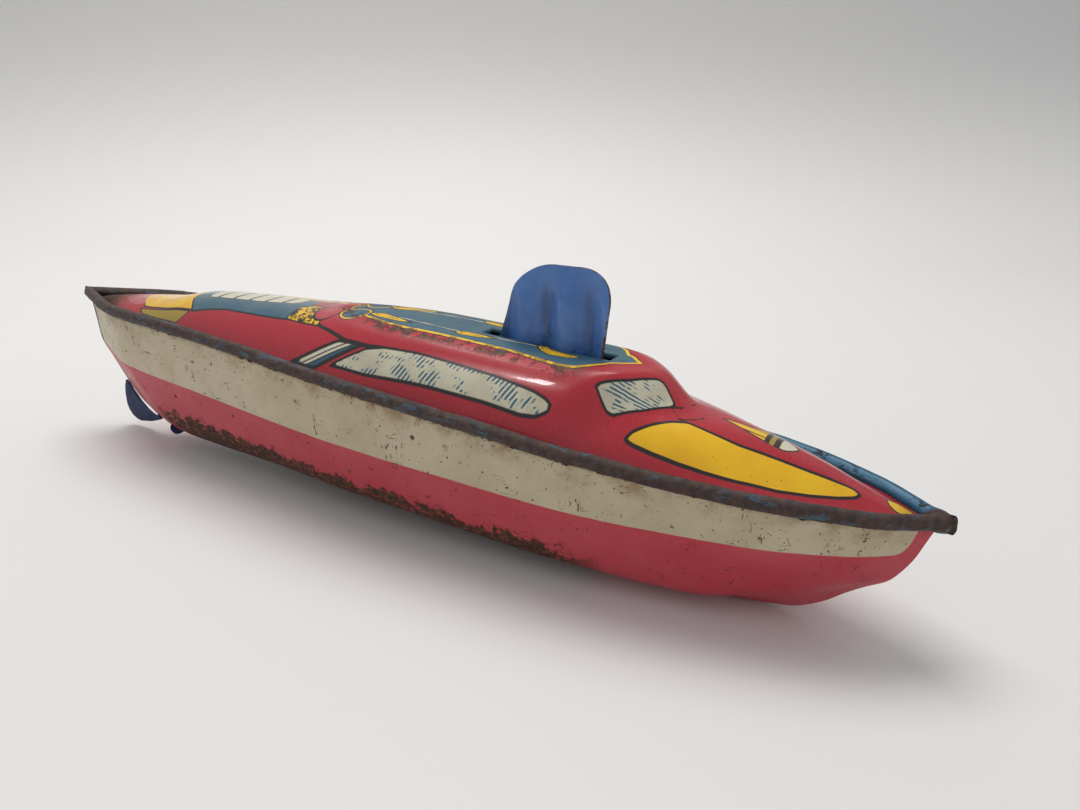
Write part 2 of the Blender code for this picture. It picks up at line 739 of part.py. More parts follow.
def make_return_spring(mat):
    height = CUP_Z - SPRING_FOOT_Z - 2 * (SPRING_WIRE + GAP) - 0.1 * MM
    points = coil_points(SPRING_RADIUS, height / 6, 6)
    foot = Vector((SPRING_X, 0, SPRING_FOOT_Z + SPRING_WIRE + GAP))
    return wire("return_spring", points, SPRING_WIRE, mat, foot)


# Gear train

def make_rack_pinion(mats):
    outline = gear_outline(RACK_PINION_TEETH, RACK_MODULE, phase=0)
    pinion = flat("rack_pinion", [outline, circle(0, 0, PIN_HOLE)], 2.8 * MM, mats["brass"],
                  FIRST_AXLE, UPRIGHT)
    ring = ring_profile(2.2 * MM, PIN_HOLE, 1.7 * MM, 3.2 * MM)
    hub = turned("rack_pinion_hub", ring, mats["brass"], FIRST_AXLE, ACROSS)
    points = coil_points(2.75 * MM, 0.62 * MM, 4)
    spring = wire("clutch_spring", points, 0.2 * MM, mats["steel"], FIRST_AXLE + 2.1 * MM * ACROSS,
                  (-pi / 2, 0, 0))
    return [pinion, hub, spring]


def make_first_gear(mats):
    outline = gear_outline(FIRST_GEAR_TEETH, SPUR_MODULE, phase=FIRST_AXLE_ANGLE + pi)
    gear = flat("first_gear", [outline, circle(0, 0, PIN_HOLE)], 0.9 * MM, mats["steel"],
                FIRST_AXLE + SPUR_OFFSET * ACROSS, UPRIGHT)
    ring = ring_profile(2.2 * MM, PIN_HOLE, 3.5 * MM, 4.9 * MM)
    hub = turned("first_gear_hub", ring, mats["brass"], FIRST_AXLE, ACROSS)
    return [gear, hub]


def make_crown_group(mats):
    half = pi / SECOND_PINION_TEETH
    outline = gear_outline(SECOND_PINION_TEETH, SPUR_MODULE, phase=FIRST_AXLE_ANGLE + half)
    pinion = flat("second_pinion", [outline, circle(0, 0, AXLE_RADIUS + GAP)], 1.6 * MM,
                  mats["brass"], CROWN_AXLE + SPUR_OFFSET * ACROSS, UPRIGHT)
    rod = rod_profile(AXLE_RADIUS, -CROWN_AXLE_HALF, CROWN_AXLE_HALF)
    axle = turned("crown_axle", rod, mats["steel"], CROWN_AXLE, ACROSS, 16)
    return [pinion, axle, make_crown_wheel(mats["steel"])]


def make_crown_wheel(mat):
    """A flat wheel whose rim carries teeth that stand up on its inner face."""
    mesh = bpy.data.meshes.new("crown_wheel")
    bm = bmesh.new()
    face = -4.4 * MM
    disc = 0.8 * MM
    tip = 1.75 * MM
    inner = CROWN_RADIUS - 1.3 * MM
    outer = CROWN_RADIUS + 1.2 * MM
    half_width = 0.5 * 0.34 * 2 * pi * CROWN_RADIUS / CROWN_TEETH
    columns = []
    for i in range(CROWN_TEETH):
        middle = pi + 2 * pi * i / CROWN_TEETH
        for side in (-1, 1):
            columns.append((middle, side * half_width))

    def ring(radius, y, narrow=1.0):
        made = []
        for middle, offset in columns:
            along_x = radius * cos(middle) - offset * narrow * sin(middle)
            along_z = radius * sin(middle) + offset * narrow * cos(middle)
            made.append(bm.verts.new((along_x, y, along_z)))
        return made

    bore_back = ring(AXLE_RADIUS + GAP, face - disc, 0.12)
    bore_front = ring(AXLE_RADIUS + GAP, face, 0.12)
    back_outer = ring(outer, face - disc)
    front_outer = ring(outer, face)
    front_inner = ring(inner, face)
    tip_outer = ring(outer, face + tip, 0.6)
    tip_inner = ring(inner, face + tip, 0.6)
    count = len(columns)

    def band(a, b, skip=None):
        for i in range(count):
            if skip is not None and i % 2 == skip:
                continue
            j = (i + 1) % count
            bm.faces.new((a[i], a[j], b[j], b[i]))

    band(bore_back, bore_front)
    band(bore_back, back_outer)
    band(back_outer, front_outer)
    band(front_inner, bore_front)
    band(front_outer, front_inner, skip=0)
    for i in range(0, count, 2):
        j = i + 1
        bm.faces.new((front_outer[i], front_outer[j], tip_outer[j], tip_outer[i]))
        bm.faces.new((front_inner[i], front_inner[j], tip_inner[j], tip_inner[i]))
        bm.faces.new((tip_outer[i], tip_outer[j], tip_inner[j], tip_inner[i]))
        bm.faces.new((front_outer[i], tip_outer[i], tip_inner[i], front_inner[i]))
        bm.faces.new((front_outer[j], tip_outer[j], tip_inner[j], front_inner[j]))
    bmesh.ops.recalc_face_normals(bm, faces=bm.faces)
    bm.to_mesh(mesh)
    bm.free()
    mesh.materials.append(mat)
    obj = bpy.data.objects.new("crown_wheel", mesh)
    parts.objects.link(obj)
    obj.location = CROWN_AXLE
    return obj


# Propeller shaft

def along_shaft(name, profile, mat, x, segments=20):
    return turned(name, profile, mat, on_shaft(x), SHAFT_DIRECTION, segments)


def blade(angle):
    """A twisted rounded blade, as rows of points around the shaft's own Z axis."""
    rows = []
    for radius, width in ((1.7, 1.2), (2.5, 2.0), (3.4, 2.4), (4.2, 2.1), (4.8, 1.2), (5.1, 0.35)):
        radius *= MM
        width *= MM
        twist = radians(62 - 7 * radius / MM)
        row = []
        for s in (-1, -0.33, 0.33, 1):
            sideways = s * width * cos(twist)
            forward = s * width * sin(twist)
            turn = angle + atan2(sideways, radius)
            row.append(Vector((radius * cos(turn), radius * sin(turn), forward)))
        rows.append(row)
    return rows


def make_propeller(mats):
    """Three pressed blades joined to a disc."""
    pieces = [turned("propeller", ring_profile(2.3 * MM, SHAFT_RADIUS + GAP, -0.8 * MM, 0.8 * MM),
                     mats["navy"], on_shaft(PROPELLER_X), SHAFT_DIRECTION, 18)]
    for i in range(3):
        angle = i * 2 * pi / 3
        one = grid_object("propeller_blade_%d" % i, blade(angle), mats["navy"])
        solidify(one, 0.6 * MM, 0.0)
        parts.objects.unlink(one)
        cutters.objects.link(one)
        one.hide_render = True
        one.display_type = "WIRE"
        one.location = pieces[0].location
        one.rotation_euler = pieces[0].rotation_euler
        join = pieces[0].modifiers.new("Blade %d" % i, "BOOLEAN")
        join.operation = "UNION"
        join.object = one
    return pieces


def make_shaft_group(mats):
    front = (CROWN_AXLE_X - CROWN_RADIUS + 2.2 * MM - PROPELLER_X) / cos(SHAFT_SLOPE)
    rod = rod_profile(SHAFT_RADIUS, -3.2 * MM, front)
    made = [along_shaft("propeller_shaft", rod, mats["steel"], PROPELLER_X, 12)]
    made += make_propeller(mats)
    washer = ring_profile(1.9 * MM, SHAFT_HOLE, 1.3 * MM, 1.8 * MM)
    made.append(along_shaft("thrust_washer", washer, mats["brass"], PROPELLER_X, 16))
    nut = ring_profile(1.6 * MM, SHAFT_HOLE, -2.6 * MM, -1.2 * MM)
    made.append(along_shaft("propeller_nut", nut, mats["brass"], PROPELLER_X, 6))
    wheel = [(8.0 * MM, 2.5 * MM), (8.0 * MM, -2.5 * MM), (2.0 * MM, -2.5 * MM), (SHAFT_HOLE, -2.5 * MM),
             (SHAFT_HOLE, 2.5 * MM), (2.0 * MM, 2.5 * MM)]
    made.append(along_shaft("flywheel", wheel, mats["lead"], FLYWHEEL_X, 32))
    collar = ring_profile(2.4 * MM, SHAFT_HOLE, 2.8 * MM, 5.2 * MM)
    made.append(along_shaft("flywheel_collar", collar, mats["brass"], FLYWHEEL_X))
    outline = gear_outline(SHAFT_PINION_TEETH, CROWN_MODULE, phase=pi / 2 + pi / SHAFT_PINION_TEETH)
    pinion = flat("shaft_pinion", [outline, circle(0, 0, SHAFT_HOLE, 12)], 1.7 * MM, mats["brass"],
                  on_shaft(CROWN_AXLE_X - CROWN_RADIUS),
                  SHAFT_DIRECTION.to_track_quat("Z", "Y").to_euler())
    made.append(pinion)
    return made


# Fixed parts of the mechanism

def make_frame(mats):
    made = []
    outline = [(x * MM, z * MM) for x, z in FRAME_OUTLINE]
    holes = [circle(centre.x, centre.z, PIN_HOLE, 12) for centre in (LEVER_PIVOT, FIRST_AXLE)]
    holes.append(circle(CROWN_AXLE.x, CROWN_AXLE.z, AXLE_RADIUS + RUNNING_FIT, 16))
    for x, z in PILLARS:
        holes.append(circle(x, z, PIN_HOLE, 12))
    window = [(24 * MM, 16.5 * MM), (50 * MM, 16.5 * MM), (54 * MM, 27.5 * MM), (22 * MM, 27.5 * MM)]
    for name, side in (("frame_starboard", -1), ("frame_port", 1)):
        place = Vector((0, side * FRAME_Y, 0))
        made.append(flat(name, [outline, window] + holes, FRAME_THICKNESS, mats["tin"], place, UPRIGHT))
    names = ("frame_pillar_aft_upper", "frame_pillar_fore_lower", "frame_pillar_fore_upper")
    for name, (x, z) in zip(names, PILLARS):
        half = FRAME_Y - FRAME_THICKNESS / 2 - GAP
        tail = FRAME_Y + FRAME_THICKNESS / 2 + 0.9 * MM
        profile = [(0, tail), (1.0 * MM, tail), (1.0 * MM, half), (1.9 * MM, half), (1.9 * MM, -half),
                   (1.0 * MM, -half), (1.0 * MM, -tail), (0, -tail)]
        made.append(turned(name, profile, mats["steel"], Vector((x, 0, z)), ACROSS, 14))
    return made


def make_pins(mats):
    tail = FRAME_Y + FRAME_THICKNESS / 2
    made = []
    for name, place in (("lever_pivot_pin", LEVER_PIVOT), ("first_axle", FIRST_AXLE)):
        profile = [(0, tail + 1.3 * MM), (1.7 * MM, tail + 1.3 * MM), (1.7 * MM, tail + GAP),
                   (1.0 * MM, tail + GAP), (1.0 * MM, -tail - 1.2 * MM), (0, -tail - 1.2 * MM)]
        made.append(turned(name, profile, mats["steel"], place, ACROSS, 16))
    return made


def make_bearings(mats):
    """Front bearing bracket, stern tube and its two bushes."""
    width = FRAME_Y - FRAME_THICKNESS / 2 - GAP
    plate = [(-5.0 * MM, -width), (6.0 * MM, -width), (6.0 * MM, width), (-5.0 * MM, width)]
    bore = circle(0, 0, SHAFT_RADIUS + RUNNING_FIT, 16)
    bracket = flat("front_bearing", [plate, bore], 1.0 * MM, mats["brass"],
                   on_shaft(FRONT_BEARING_X), (0, pi / 2 - SHAFT_SLOPE, 0))
    made = [bracket]
    length = STERN_TUBE[1] - STERN_TUBE[0]
    tube = [(2.0 * MM, length), (2.0 * MM, 0), (1.5 * MM, 0), (1.5 * MM, length)]
    made.append(along_shaft("stern_tube", tube, mats["tin"], STERN_TUBE[0]))
    for name, start in (("stern_bush", 0.5 * MM), ("inner_bush", length - 4.5 * MM)):
        profile = ring_profile(1.2 * MM, SHAFT_RADIUS + 0.06 * MM, start, start + 4 * MM)
        made.append(along_shaft(name, profile, mats["brass"], STERN_TUBE[0], 16))
    return made


def strap_rows(first_x, last_x):
    """A strip that follows the inside of the hull from chine to chine."""
    rows = []
    for x in (first_x, last_x):
        row = []
        for s in (1.0, 0.72, 0.44, 0.24):
            t = (x - RIM_ENDS[0]) / (RIM_ENDS[1] - RIM_ENDS[0])
            chine_y = 0.62 * half_breadth(t)
            keel_y = KEEL_BREADTH * half_breadth(t)
            y = max(keel_y, s * chine_y)
            share = (y - keel_y) / (CHINE_BREADTH * half_breadth(t) - keel_y)
            z = keel_height(x) + (chine_height(x) - keel_height(x)) * share + SHELL + 1.5 * MM
            row.append(Vector((x, y, z)))
        row.append(Vector((x, -CROSSING, row[-1].z)))
        rows.append(row)
    return rows


def make_straps(mats):
    made = []
    for name, first_x, last_x in STRAPS:
        strap = grid_object(name, to_starboard(strap_rows(first_x, last_x)), mats["tin"], smooth=False)
        solidify(strap, 0.8 * MM, offset=-1.0)
        mirror_across_centreline(strap)
        made.append(strap)
    bar = [(SPRING_X - SEAT_HALF_LENGTH, -SEAT_HALF_WIDTH), (SPRING_X + SEAT_HALF_LENGTH, -SEAT_HALF_WIDTH),
           (SPRING_X + SEAT_HALF_LENGTH, SEAT_HALF_WIDTH), (SPRING_X - SEAT_HALF_LENGTH, SEAT_HALF_WIDTH)]
    place = Vector((0, 0, SPRING_FOOT_Z - SEAT_THICKNESS / 2))
    made.append(flat("spring_seat", [bar], SEAT_THICKNESS, mats["tin"], place, (0, 0, 0)))
    return made


# Rudder

def rudder_outline():
    """Outline of the plate in x and z, anticlockwise seen from starboard."""
    gap = 0.7 * MM
    edge = [(x * MM, stem_height(x * MM) - gap) for x in (-101.2, -105.5, -108, -111, -114, -115.8)]
    edge += [(-116.8 * MM, 15.6 * MM), (-117.7 * MM, 13.2 * MM), (RUDDER_AFT_X, 10.5 * MM)]
    corner_x = RUDDER_AFT_X + 6.6 * MM
    corner_z = RUDDER_FOOT_Z + 6.2 * MM
    for degrees in (190, 210, 230, 250, 268):
        angle = radians(degrees)
        edge.append((corner_x + 6.6 * MM * cos(angle), corner_z + 6.2 * MM * sin(angle)))
    edge += [(-106.0 * MM, 2.9 * MM), (-101.4 * MM, 4.4 * MM)]
    return edge


def make_rudder(mats):
    """A sheet plate soldered to a wire post, and the collar that holds the post in the hull."""
    post = rod_profile(RUDDER_POST_RADIUS, RUDDER_POST_FOOT_Z, RUDDER_POST_TOP_Z)
    rudder = turned("rudder", post, mats["navy"], Vector((RUDDER_X, 0, 0)), UP, 12)
    plate = prism_cutter("rudder_plate", rudder_outline(), -0.4 * MM, 0.4 * MM)
    plate.rotation_euler = UPRIGHT
    join = rudder.modifiers.new("Plate", "BOOLEAN")
    join.operation = "UNION"
    join.object = plate
    collar = ring_profile(1.7 * MM, RUDDER_POST_RADIUS + GAP, 0, 1.5 * MM)
    made = turned("rudder_collar", collar, mats["brass"], Vector((RUDDER_X, 0, 11.6 * MM)), UP, 12)
    return [rudder, made]


def stem_height(x):
    """Lowest point of the hull on the centreline towards the stern tip."""
    return MM * smooth_curve(STEM_CURVE)(x / MM)


def main():
    clear_scene()
    make_collections()
    mats = {
        "hull": material("litho_hull", (0.55, 0.10, 0.13), 0.35, 0.1),
        "deck": material("litho_deck", (0.55, 0.04, 0.06), 0.3, 0.1),
        "bead": material("worn_blue", (0.09, 0.12, 0.15), 0.55, 0.3),
        "lever_blue": material("lever_blue", (0.05, 0.13, 0.40), 0.35, 0.1),
        "navy": material("navy", (0.01, 0.02, 0.10), 0.4, 0.1),
        "tin": material("tinplate", (0.55, 0.54, 0.50), 0.35, 0.9),
        "steel": material("steel", (0.45, 0.45, 0.45), 0.3, 1.0),
        "brass": material("brass", (0.60, 0.43, 0.16), 0.3, 1.0),
        "lead": material("lead", (0.22, 0.22, 0.24), 0.5, 0.9),
    }
    hull = make_hull(mats["hull"])
    cut(hull, tunnel_cutter())
    post_foot = Vector((RUDDER_X, 0, 1 * MM))
    cut(hull, rod_cutter("rudder_post_hole", post_foot, post_foot + 9 * MM * UP, 1.1 * MM, 12))
    tunnel = make_tunnel(mats["hull"])
    cut(tunnel, rod_cutter("stern_tube_cutter", on_shaft(-92 * MM), on_shaft(-50 * MM), 2.3 * MM))
    make_gunwale(mats["bead"])
    make_deck(mats["deck"])
    make_lever(mats)
    make_return_spring(mats["steel"])
    make_rack_pinion(mats)
    make_first_gear(mats)
    make_crown_group(mats)
    make_shaft_group(mats)
    make_frame(mats)
    make_pins(mats)
    make_bearings(mats)
    make_straps(mats)
    make_rudder(mats)


main()
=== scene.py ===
"""Looks of the tin toy boat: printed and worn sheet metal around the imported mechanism."""
import json
from math import cos, pi, radians, sin, sqrt, tan

import bmesh
import bpy
import numpy as np
from mathutils import Matrix, Vector, noise


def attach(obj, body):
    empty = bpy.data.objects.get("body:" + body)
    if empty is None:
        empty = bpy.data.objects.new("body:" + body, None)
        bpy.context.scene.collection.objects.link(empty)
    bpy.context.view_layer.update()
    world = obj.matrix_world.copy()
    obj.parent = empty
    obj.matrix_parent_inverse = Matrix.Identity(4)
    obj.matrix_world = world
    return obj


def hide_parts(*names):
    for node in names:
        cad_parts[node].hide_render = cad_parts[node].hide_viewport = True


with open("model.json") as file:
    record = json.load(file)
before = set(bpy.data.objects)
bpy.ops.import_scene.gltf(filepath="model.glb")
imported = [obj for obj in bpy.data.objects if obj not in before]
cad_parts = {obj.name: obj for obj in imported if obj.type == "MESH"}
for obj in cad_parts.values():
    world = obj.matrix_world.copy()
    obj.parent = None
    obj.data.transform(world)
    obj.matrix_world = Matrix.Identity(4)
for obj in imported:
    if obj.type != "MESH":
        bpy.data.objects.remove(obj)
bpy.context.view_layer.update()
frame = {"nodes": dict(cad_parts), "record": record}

MM = 0.001

# Lines of the boat, as in the mechanism's frame: millimetres, +X to the bow, z from the table
LENGTH = 260
SHEER = (0.150, -0.071, -0.048, 0.038)
CHINE_LINE = (0.030, -0.036, -0.008)
WATER_LINE = (0.086, -0.033, 0.031)
PLAN = ((0.0, 0.0), (0.04, 0.018), (0.12, 0.050), (0.3, 0.068), (0.5, 0.085), (0.7, 0.087),
        (0.86, 0.067), (0.95, 0.036), (1.0, 0.0))
RIM_ENDS = (-129.2, 128.6)
RIM_RUN = 257
WAIST_ENDS = (-126.5, 125.6)
CHINE_ENDS = (-112.5, 115.8)
KEEL_ENDS = (-104.0, 99.0)
BEAD_ENDS = (-129.6, 129.4)
WAIST_BREADTH, CHINE_BREADTH, KEEL_BREADTH = 0.958, 0.80, 0.24
WAIST_DEPTH = 0.46
KEEL_TOUCH_X = 76
KEEL_RISE = tan(radians(1.25))
FOREFOOT_RISE = 0.3
STERN_RISE, STERN_RISE_X = 2.6, (-92, -106)
BOW_CHINE_RISE, BOW_CHINE_X = 5.8, 84
WATER_RISE, WATER_RISE_X = 34, (121, 131)
FOREFOOT_FULLNESS = Vector((0, 0, -2.0))
STEM_FULLNESS = Vector((1.2, 0, -1.0))
HULL_STEPS = 230
HULL_DROP = 1.2
HULL_WALL = 0.6
BEAD_RADIUS = 1.7
BEAD_TIP_OVERLAP = 1.5
BEAD_STEPS, BEAD_AROUND = 300, 20
LUG_GROWTH, LUG_START, LUG_END = 0.28, 0.988, 0.998

# Deck: height of its centreline above the rim, along the boat
CENTRELINE = ((-126, -1.8), (-115, 0.2), (-105, 1.4), (-95, 2.5), (-86, 3.6), (-80, 4.8), (-72, 6.7),
              (-62, 8.0), (-50, 9.0), (-40, 9.8), (-30, 10.6), (-20, 11.6), (-8, 12.8), (5, 13.7),
              (27, 14.5), (45, 14.8), (58, 15.2), (66, 15.5), (70, 15.3), (72, 14.5), (74.2, 12.7),
              (77, 10.3), (79.6, 9.0), (83, 8.4), (88, 7.8), (94, 7.0), (101, 5.7), (107, 4.3),
              (113, 2.5), (119, 0.6), (127, -1.8))
DECK_ENDS = (-126.5, 126.0)
DECK_INSET = 1.2
MARGIN_DROP, STERN_MARGIN_DROP = 0.9, 2.6
CROWN_POWER = ((-127, 2.4), (-66, 2.6), (-30, 3.0), (0, 4.2), (20, 4.8), (66, 5.0), (78, 4.2), (92, 2.4),
               (104, 2.0), (127, 2.0))
FLARE = 1.25
SCREEN_SWEEP = 1.35
NOSE_RADIUS = 5.0
SLOT = (25.7, 59.6)
SLOT_HALF_WIDTH = 2.9
SLOT_LIP = 0.9
SHEET = 0.45
DECK_STEP = 0.8
DECK_COLUMNS = 34

# Thumb tab
TAB_AFT, TAB_FWD = (29.6, 35.6), (57.4, 59.6)
TAB_FOOT_Z, ROOF_Z, TAB_TOP_Z = 42.0, 51.0, 69.4
TAB_CORNER = 8.5
FLUTE_DEPTH = 1.2
TAB_Y = -1.2
TAB_SHEET = 0.7
TAB_COLUMNS = 56

# Printed shapes on the deck: corners as (x, distance from the centreline)
ROOF_PANEL = ((-16, 0), (-13, 4.6), (-6, 6.8), (2, 8.9), (8.5, 9.6), (23.6, 9.6), (38, 10.0), (46, 11.0),
              (50.6, 11.4), (54.6, 11.1), (57.2, 9.4), (59.6, 7.0), (61.2, 4.2), (62.8, 3.4), (64.6, 1.2),
              (66.0, 0))
CABIN_END = ((-24, 0), (-23, 7), (-16.6, 11.7), (-6, 14.4), (1.7, 14.9), (12, 14.9), (12, 0))
SIDE_WINDOW = ((-8.2, 17.9), (3, 18.3), (22.3, 18.2), (36.4, 18.3), (45.9, 18.6), (49.7, 18.4), (52.4, 17.7),
               (52.8, 17.1), (51.4, 16.7), (48.4, 16.3), (37.9, 15.5), (27.3, 15.1), (16, 14.8),
               (6.8, 14.8), (1.6, 15.3))
STRIPES = ((-21.4, 17.9), (-7.6, 14.5), (0.2, 14.8), (-13.2, 18.5))
WINDSCREEN = ((60.6, 12.5), (61.5, 11.6), (66.3, 8.0), (70.9, 3.4), (72.2, 2.9), (75.2, 4.1), (75.1, 5.1),
              (70.5, 9.7), (65.3, 13.6), (63.9, 13.7), (62.5, 13.3))
PILLAR_LINE = ((74.8, 5.2), (76.3, 6.1), (77.9, 7.5))
NOSE_LINE = ((74.8, 5.2), (76.6, 4.0), (78.3, 0))
FOREDECK_LINE = ((77.9, 7.4), (81.0, 4.6), (83.6, 0))
FOREDECK_PANEL = ((69.2, 15.7), (70.1, 14.3), (73.2, 11.5), (76.3, 8.9), (79.4, 7.1), (84, 6.9), (90.1, 6.4),
                  (98.8, 4.9), (104.3, 4.0), (109.6, 2.9), (112.6, 2.3), (114.0, 2.8), (113.4, 3.9),
                  (110.3, 5.9), (105.5, 8.3), (99.6, 10.7), (92.3, 12.6), (85.8, 14.0), (80.2, 15.0),
                  (75.0, 15.6), (70.8, 15.9))
BOW_PANEL = ((118.6, 0), (119.4, 1.2), (120.8, 1.9), (122.6, 1.6), (123.9, 0.8), (124.4, 0))
LAMP = ((84.6, 0), (88.8, 1.0), (92.0, 1.9), (95.4, 2.6), (98.2, 2.5), (100.4, 1.5), (101.0, 0))
HUMP_TOP = ((-71.5, 0), (-70.2, 6.0), (-66.2, 10.3), (-60, 9.6), (-53.4, 9.2), (-40, 10.0), (-28, 10.4),
            (-26.6, 9.0), (-26, 5.0), (-28, 0))
GRILLE = ((-66.5, 0), (-65.0, 4.9), (-56, 4.8), (-42, 4.4), (-33.6, 3.4), (-32, 0))
ORNAMENT = ((-29.6, 10.2), (-29.2, 5.6), (-25.0, 3.4), (-20.6, 4.6), (-19.4, 7.4), (-16.8, 11.8),
            (-22.2, 11.2))
STERN_PANEL = ((-99.6, 0), (-95.4, 4.0), (-90.4, 7.9), (-78.0, 9.2), (-66.8, 9.9), (-66.8, 0))
OLIVE_PANEL = ((-91.4, 8.6), (-78, 9.7), (-67.0, 10.2), (-70.2, 13.0), (-79.4, 11.9), (-88.5, 10.4))
STERN_SPOT = ((-107.5, 0), (-105.4, 3.2), (-101.0, 5.4), (-96.0, 7.0), (-91.4, 7.0), (-94.6, 4.0), (-98, 0))
RED_SEAT, BLUE_SEAT = ((-18.2, 6.4), 3.8), ((-10.3, 5.2), 3.4)
ARROW_FORE = ((41.6, 3.8), (43.5, 2.4), (45.6, 4.2), (53.8, 5.6), (51.0, 7.4), (46.8, 7.8), (44.0, 6.4))
ARROW_AFT = ((20.4, 6.4), (23.0, 4.8), (26.5, 4.6), (32.5, 5.1), (27.0, 6.8), (23.0, 7.4))
ARROW_STERN = ((-7.0, 4.2), (-3.0, 2.8), (2.0, 4.4), (9.0, 6.6), (4.0, 6.8), (-3.0, 6.0))
WHITE_LINE = ((2, 4.2), (14.6, 5.3), (23.9, 5.6), (28.0, 5.0), (41.2, 4.0), (53.6, 5.4))
PORT_PANEL = ((-46, 2.6), (-30, 1.6), (-12, 2.4), (-2, 4.6), (-8, 9.0), (-30, 8.4), (-44, 6.6))

# Colours, linear
HULL_RED = (0.50, 0.040, 0.058)
DECK_RED = (0.45, 0.016, 0.028)
CREAM = (0.58, 0.50, 0.345)
YELLOW = (0.88, 0.52, 0.006)
OLIVE = (0.36, 0.25, 0.020)
TEAL = (0.034, 0.105, 0.170)
PALE = (0.66, 0.62, 0.46)
INK = (0.018, 0.012, 0.012)
PINK = (0.50, 0.09, 0.11)
LEVER_BLUE = (0.060, 0.160, 0.430)
NAVY = (0.006, 0.022, 0.095)
RIM_BLUE = (0.050, 0.088, 0.125)
RIM_DARK = (0.046, 0.034, 0.034)
RIM_BROWN = (0.105, 0.058, 0.042)
PORT_BLUE = (0.012, 0.085, 0.165)
RUST = (0.050, 0.024, 0.015)
RUST_LIGHT = (0.20, 0.085, 0.036)
BARE_TIN = (0.30, 0.27, 0.23)
FLOOR = (0.80, 0.785, 0.765)
FLOOR_STAIN = (0.76, 0.75, 0.735)
# Painted shade: the darker card colour of the upper wall, standing in for the weaker light there
WALL = (0.60, 0.592, 0.585)

# Stage, lights and camera: metres, watts and degrees
SWEEP_FRONT, SWEEP_FLAT, SWEEP_RADIUS, SWEEP_TOP = -1.2, 0.40, 0.22, 0.62
SWEEP_HALF_WIDTH = 2.5
SWEEP_TURN = 28
WALL_SHADE_MM = (5.0, 190.0)
KEY_PLACE, KEY_TARGET, KEY_SIZE, KEY_POWER = (-0.30, 0.22, 1.00), (0, 0, 0), (0.7, 0.5), 7.2
KEY_COLOUR = (1, 0.985, 0.96)
GLINT_PLACE, GLINT_TARGET, GLINT_SIZE, GLINT_POWER = (-0.30, -0.50, 0.72), (0.04, 0, 0.04), (0.11, 0.11), 1.9
ROOM_COLOUR, ROOM_STRENGTH = (0.95, 0.97, 1.0, 1), 0.52
CAMERA_AZIMUTH, CAMERA_ELEVATION, CAMERA_ROLL = 28.334, 18.948, 1.275
CAMERA_PLACE = (0.12648, -0.15905, 0.09748)
CAMERA_LENS, CAMERA_SENSOR = 26.667, 36


# Curves and distances

def smooth_curve(points):
    """A monotone cubic through (x, y) points, as a function of x."""
    xs = [p[0] for p in points]
    ys = [p[1] for p in points]
    slopes = [(ys[i + 1] - ys[i]) / (xs[i + 1] - xs[i]) for i in range(len(xs) - 1)]
    tangents = [slopes[0]]
    for before, after in zip(slopes, slopes[1:]):
        tangents.append(0 if before * after <= 0 else 2 * before * after / (before + after))
    tangents.append(slopes[-1])

    def value(x):
        i = max(0, min(len(slopes) - 1, sum(x > known for known in xs) - 1))
        width = xs[i + 1] - xs[i]
        s = (x - xs[i]) / width
        if s < 0:
            return ys[0] + tangents[0] * (x - xs[0])
        if s > 1:
            return ys[-1] + tangents[-1] * (x - xs[-1])
        low = (1 + 2 * s) * (1 - s) ** 2 * ys[i] + s * (1 - s) ** 2 * width * tangents[i]
        high = s * s * (3 - 2 * s) * ys[i + 1] - s * s * (1 - s) * width * tangents[i + 1]
        return low + high

    return value


def smooth_step(low, high, x):
    """0 at low, 1 at high, smooth in between."""
    s = np.clip((x - low) / (high - low), 0.0, 1.0)
    return s * s * (3 - 2 * s)


def polynomial(coefficients, x):
    """A height in mm, from coefficients that are shares of the boat's length."""
    return LENGTH * sum(c * (x / LENGTH) ** i for i, c in enumerate(coefficients))


def rim_height(x):
    return polynomial(SHEER, x)


plan_curve = smooth_curve(PLAN)
centreline_curve = smooth_curve(CENTRELINE)
crown_power = smooth_curve(CROWN_POWER)


def half_breadth(t):
    """Half the breadth of the rim, t from 0 at the stern to 1 at the bow."""
    return LENGTH * max(0.0, plan_curve(min(1.0, max(0.0, t))))


def half_breadth_at(x):
    return half_breadth((x - RIM_ENDS[0]) / (RIM_ENDS[1] - RIM_ENDS[0]))


def along(ends, t):
    return ends[0] + (ends[1] - ends[0]) * t


def keel_height(x):
    if x < KEEL_TOUCH_X:
        return (KEEL_TOUCH_X - x) * KEEL_RISE + STERN_RISE * smooth_step(*STERN_RISE_X, x)
    return FOREFOOT_RISE * smooth_step(KEEL_TOUCH_X, KEEL_ENDS[1], x)


def chine_height(x):
    return polynomial(CHINE_LINE, x) + BOW_CHINE_RISE * smooth_step(BOW_CHINE_X, CHINE_ENDS[1], x)


def through(points, per_span):
    """A Catmull-Rom curve through 3-D points."""
    ends = [2 * points[0] - points[1]] + points + [2 * points[-1] - points[-2]]
    found = []
    for a, b, c, d in zip(ends, ends[1:], ends[2:], ends[3:]):
        for k in range(per_span):
            s = k / per_span
            found.append(0.5 * (2 * b + (c - a) * s + (2 * a - 5 * b + 4 * c - d) * s * s
                                + (3 * b - a - 3 * c + d) * s ** 3))
    found.append(points[-1])
    return found


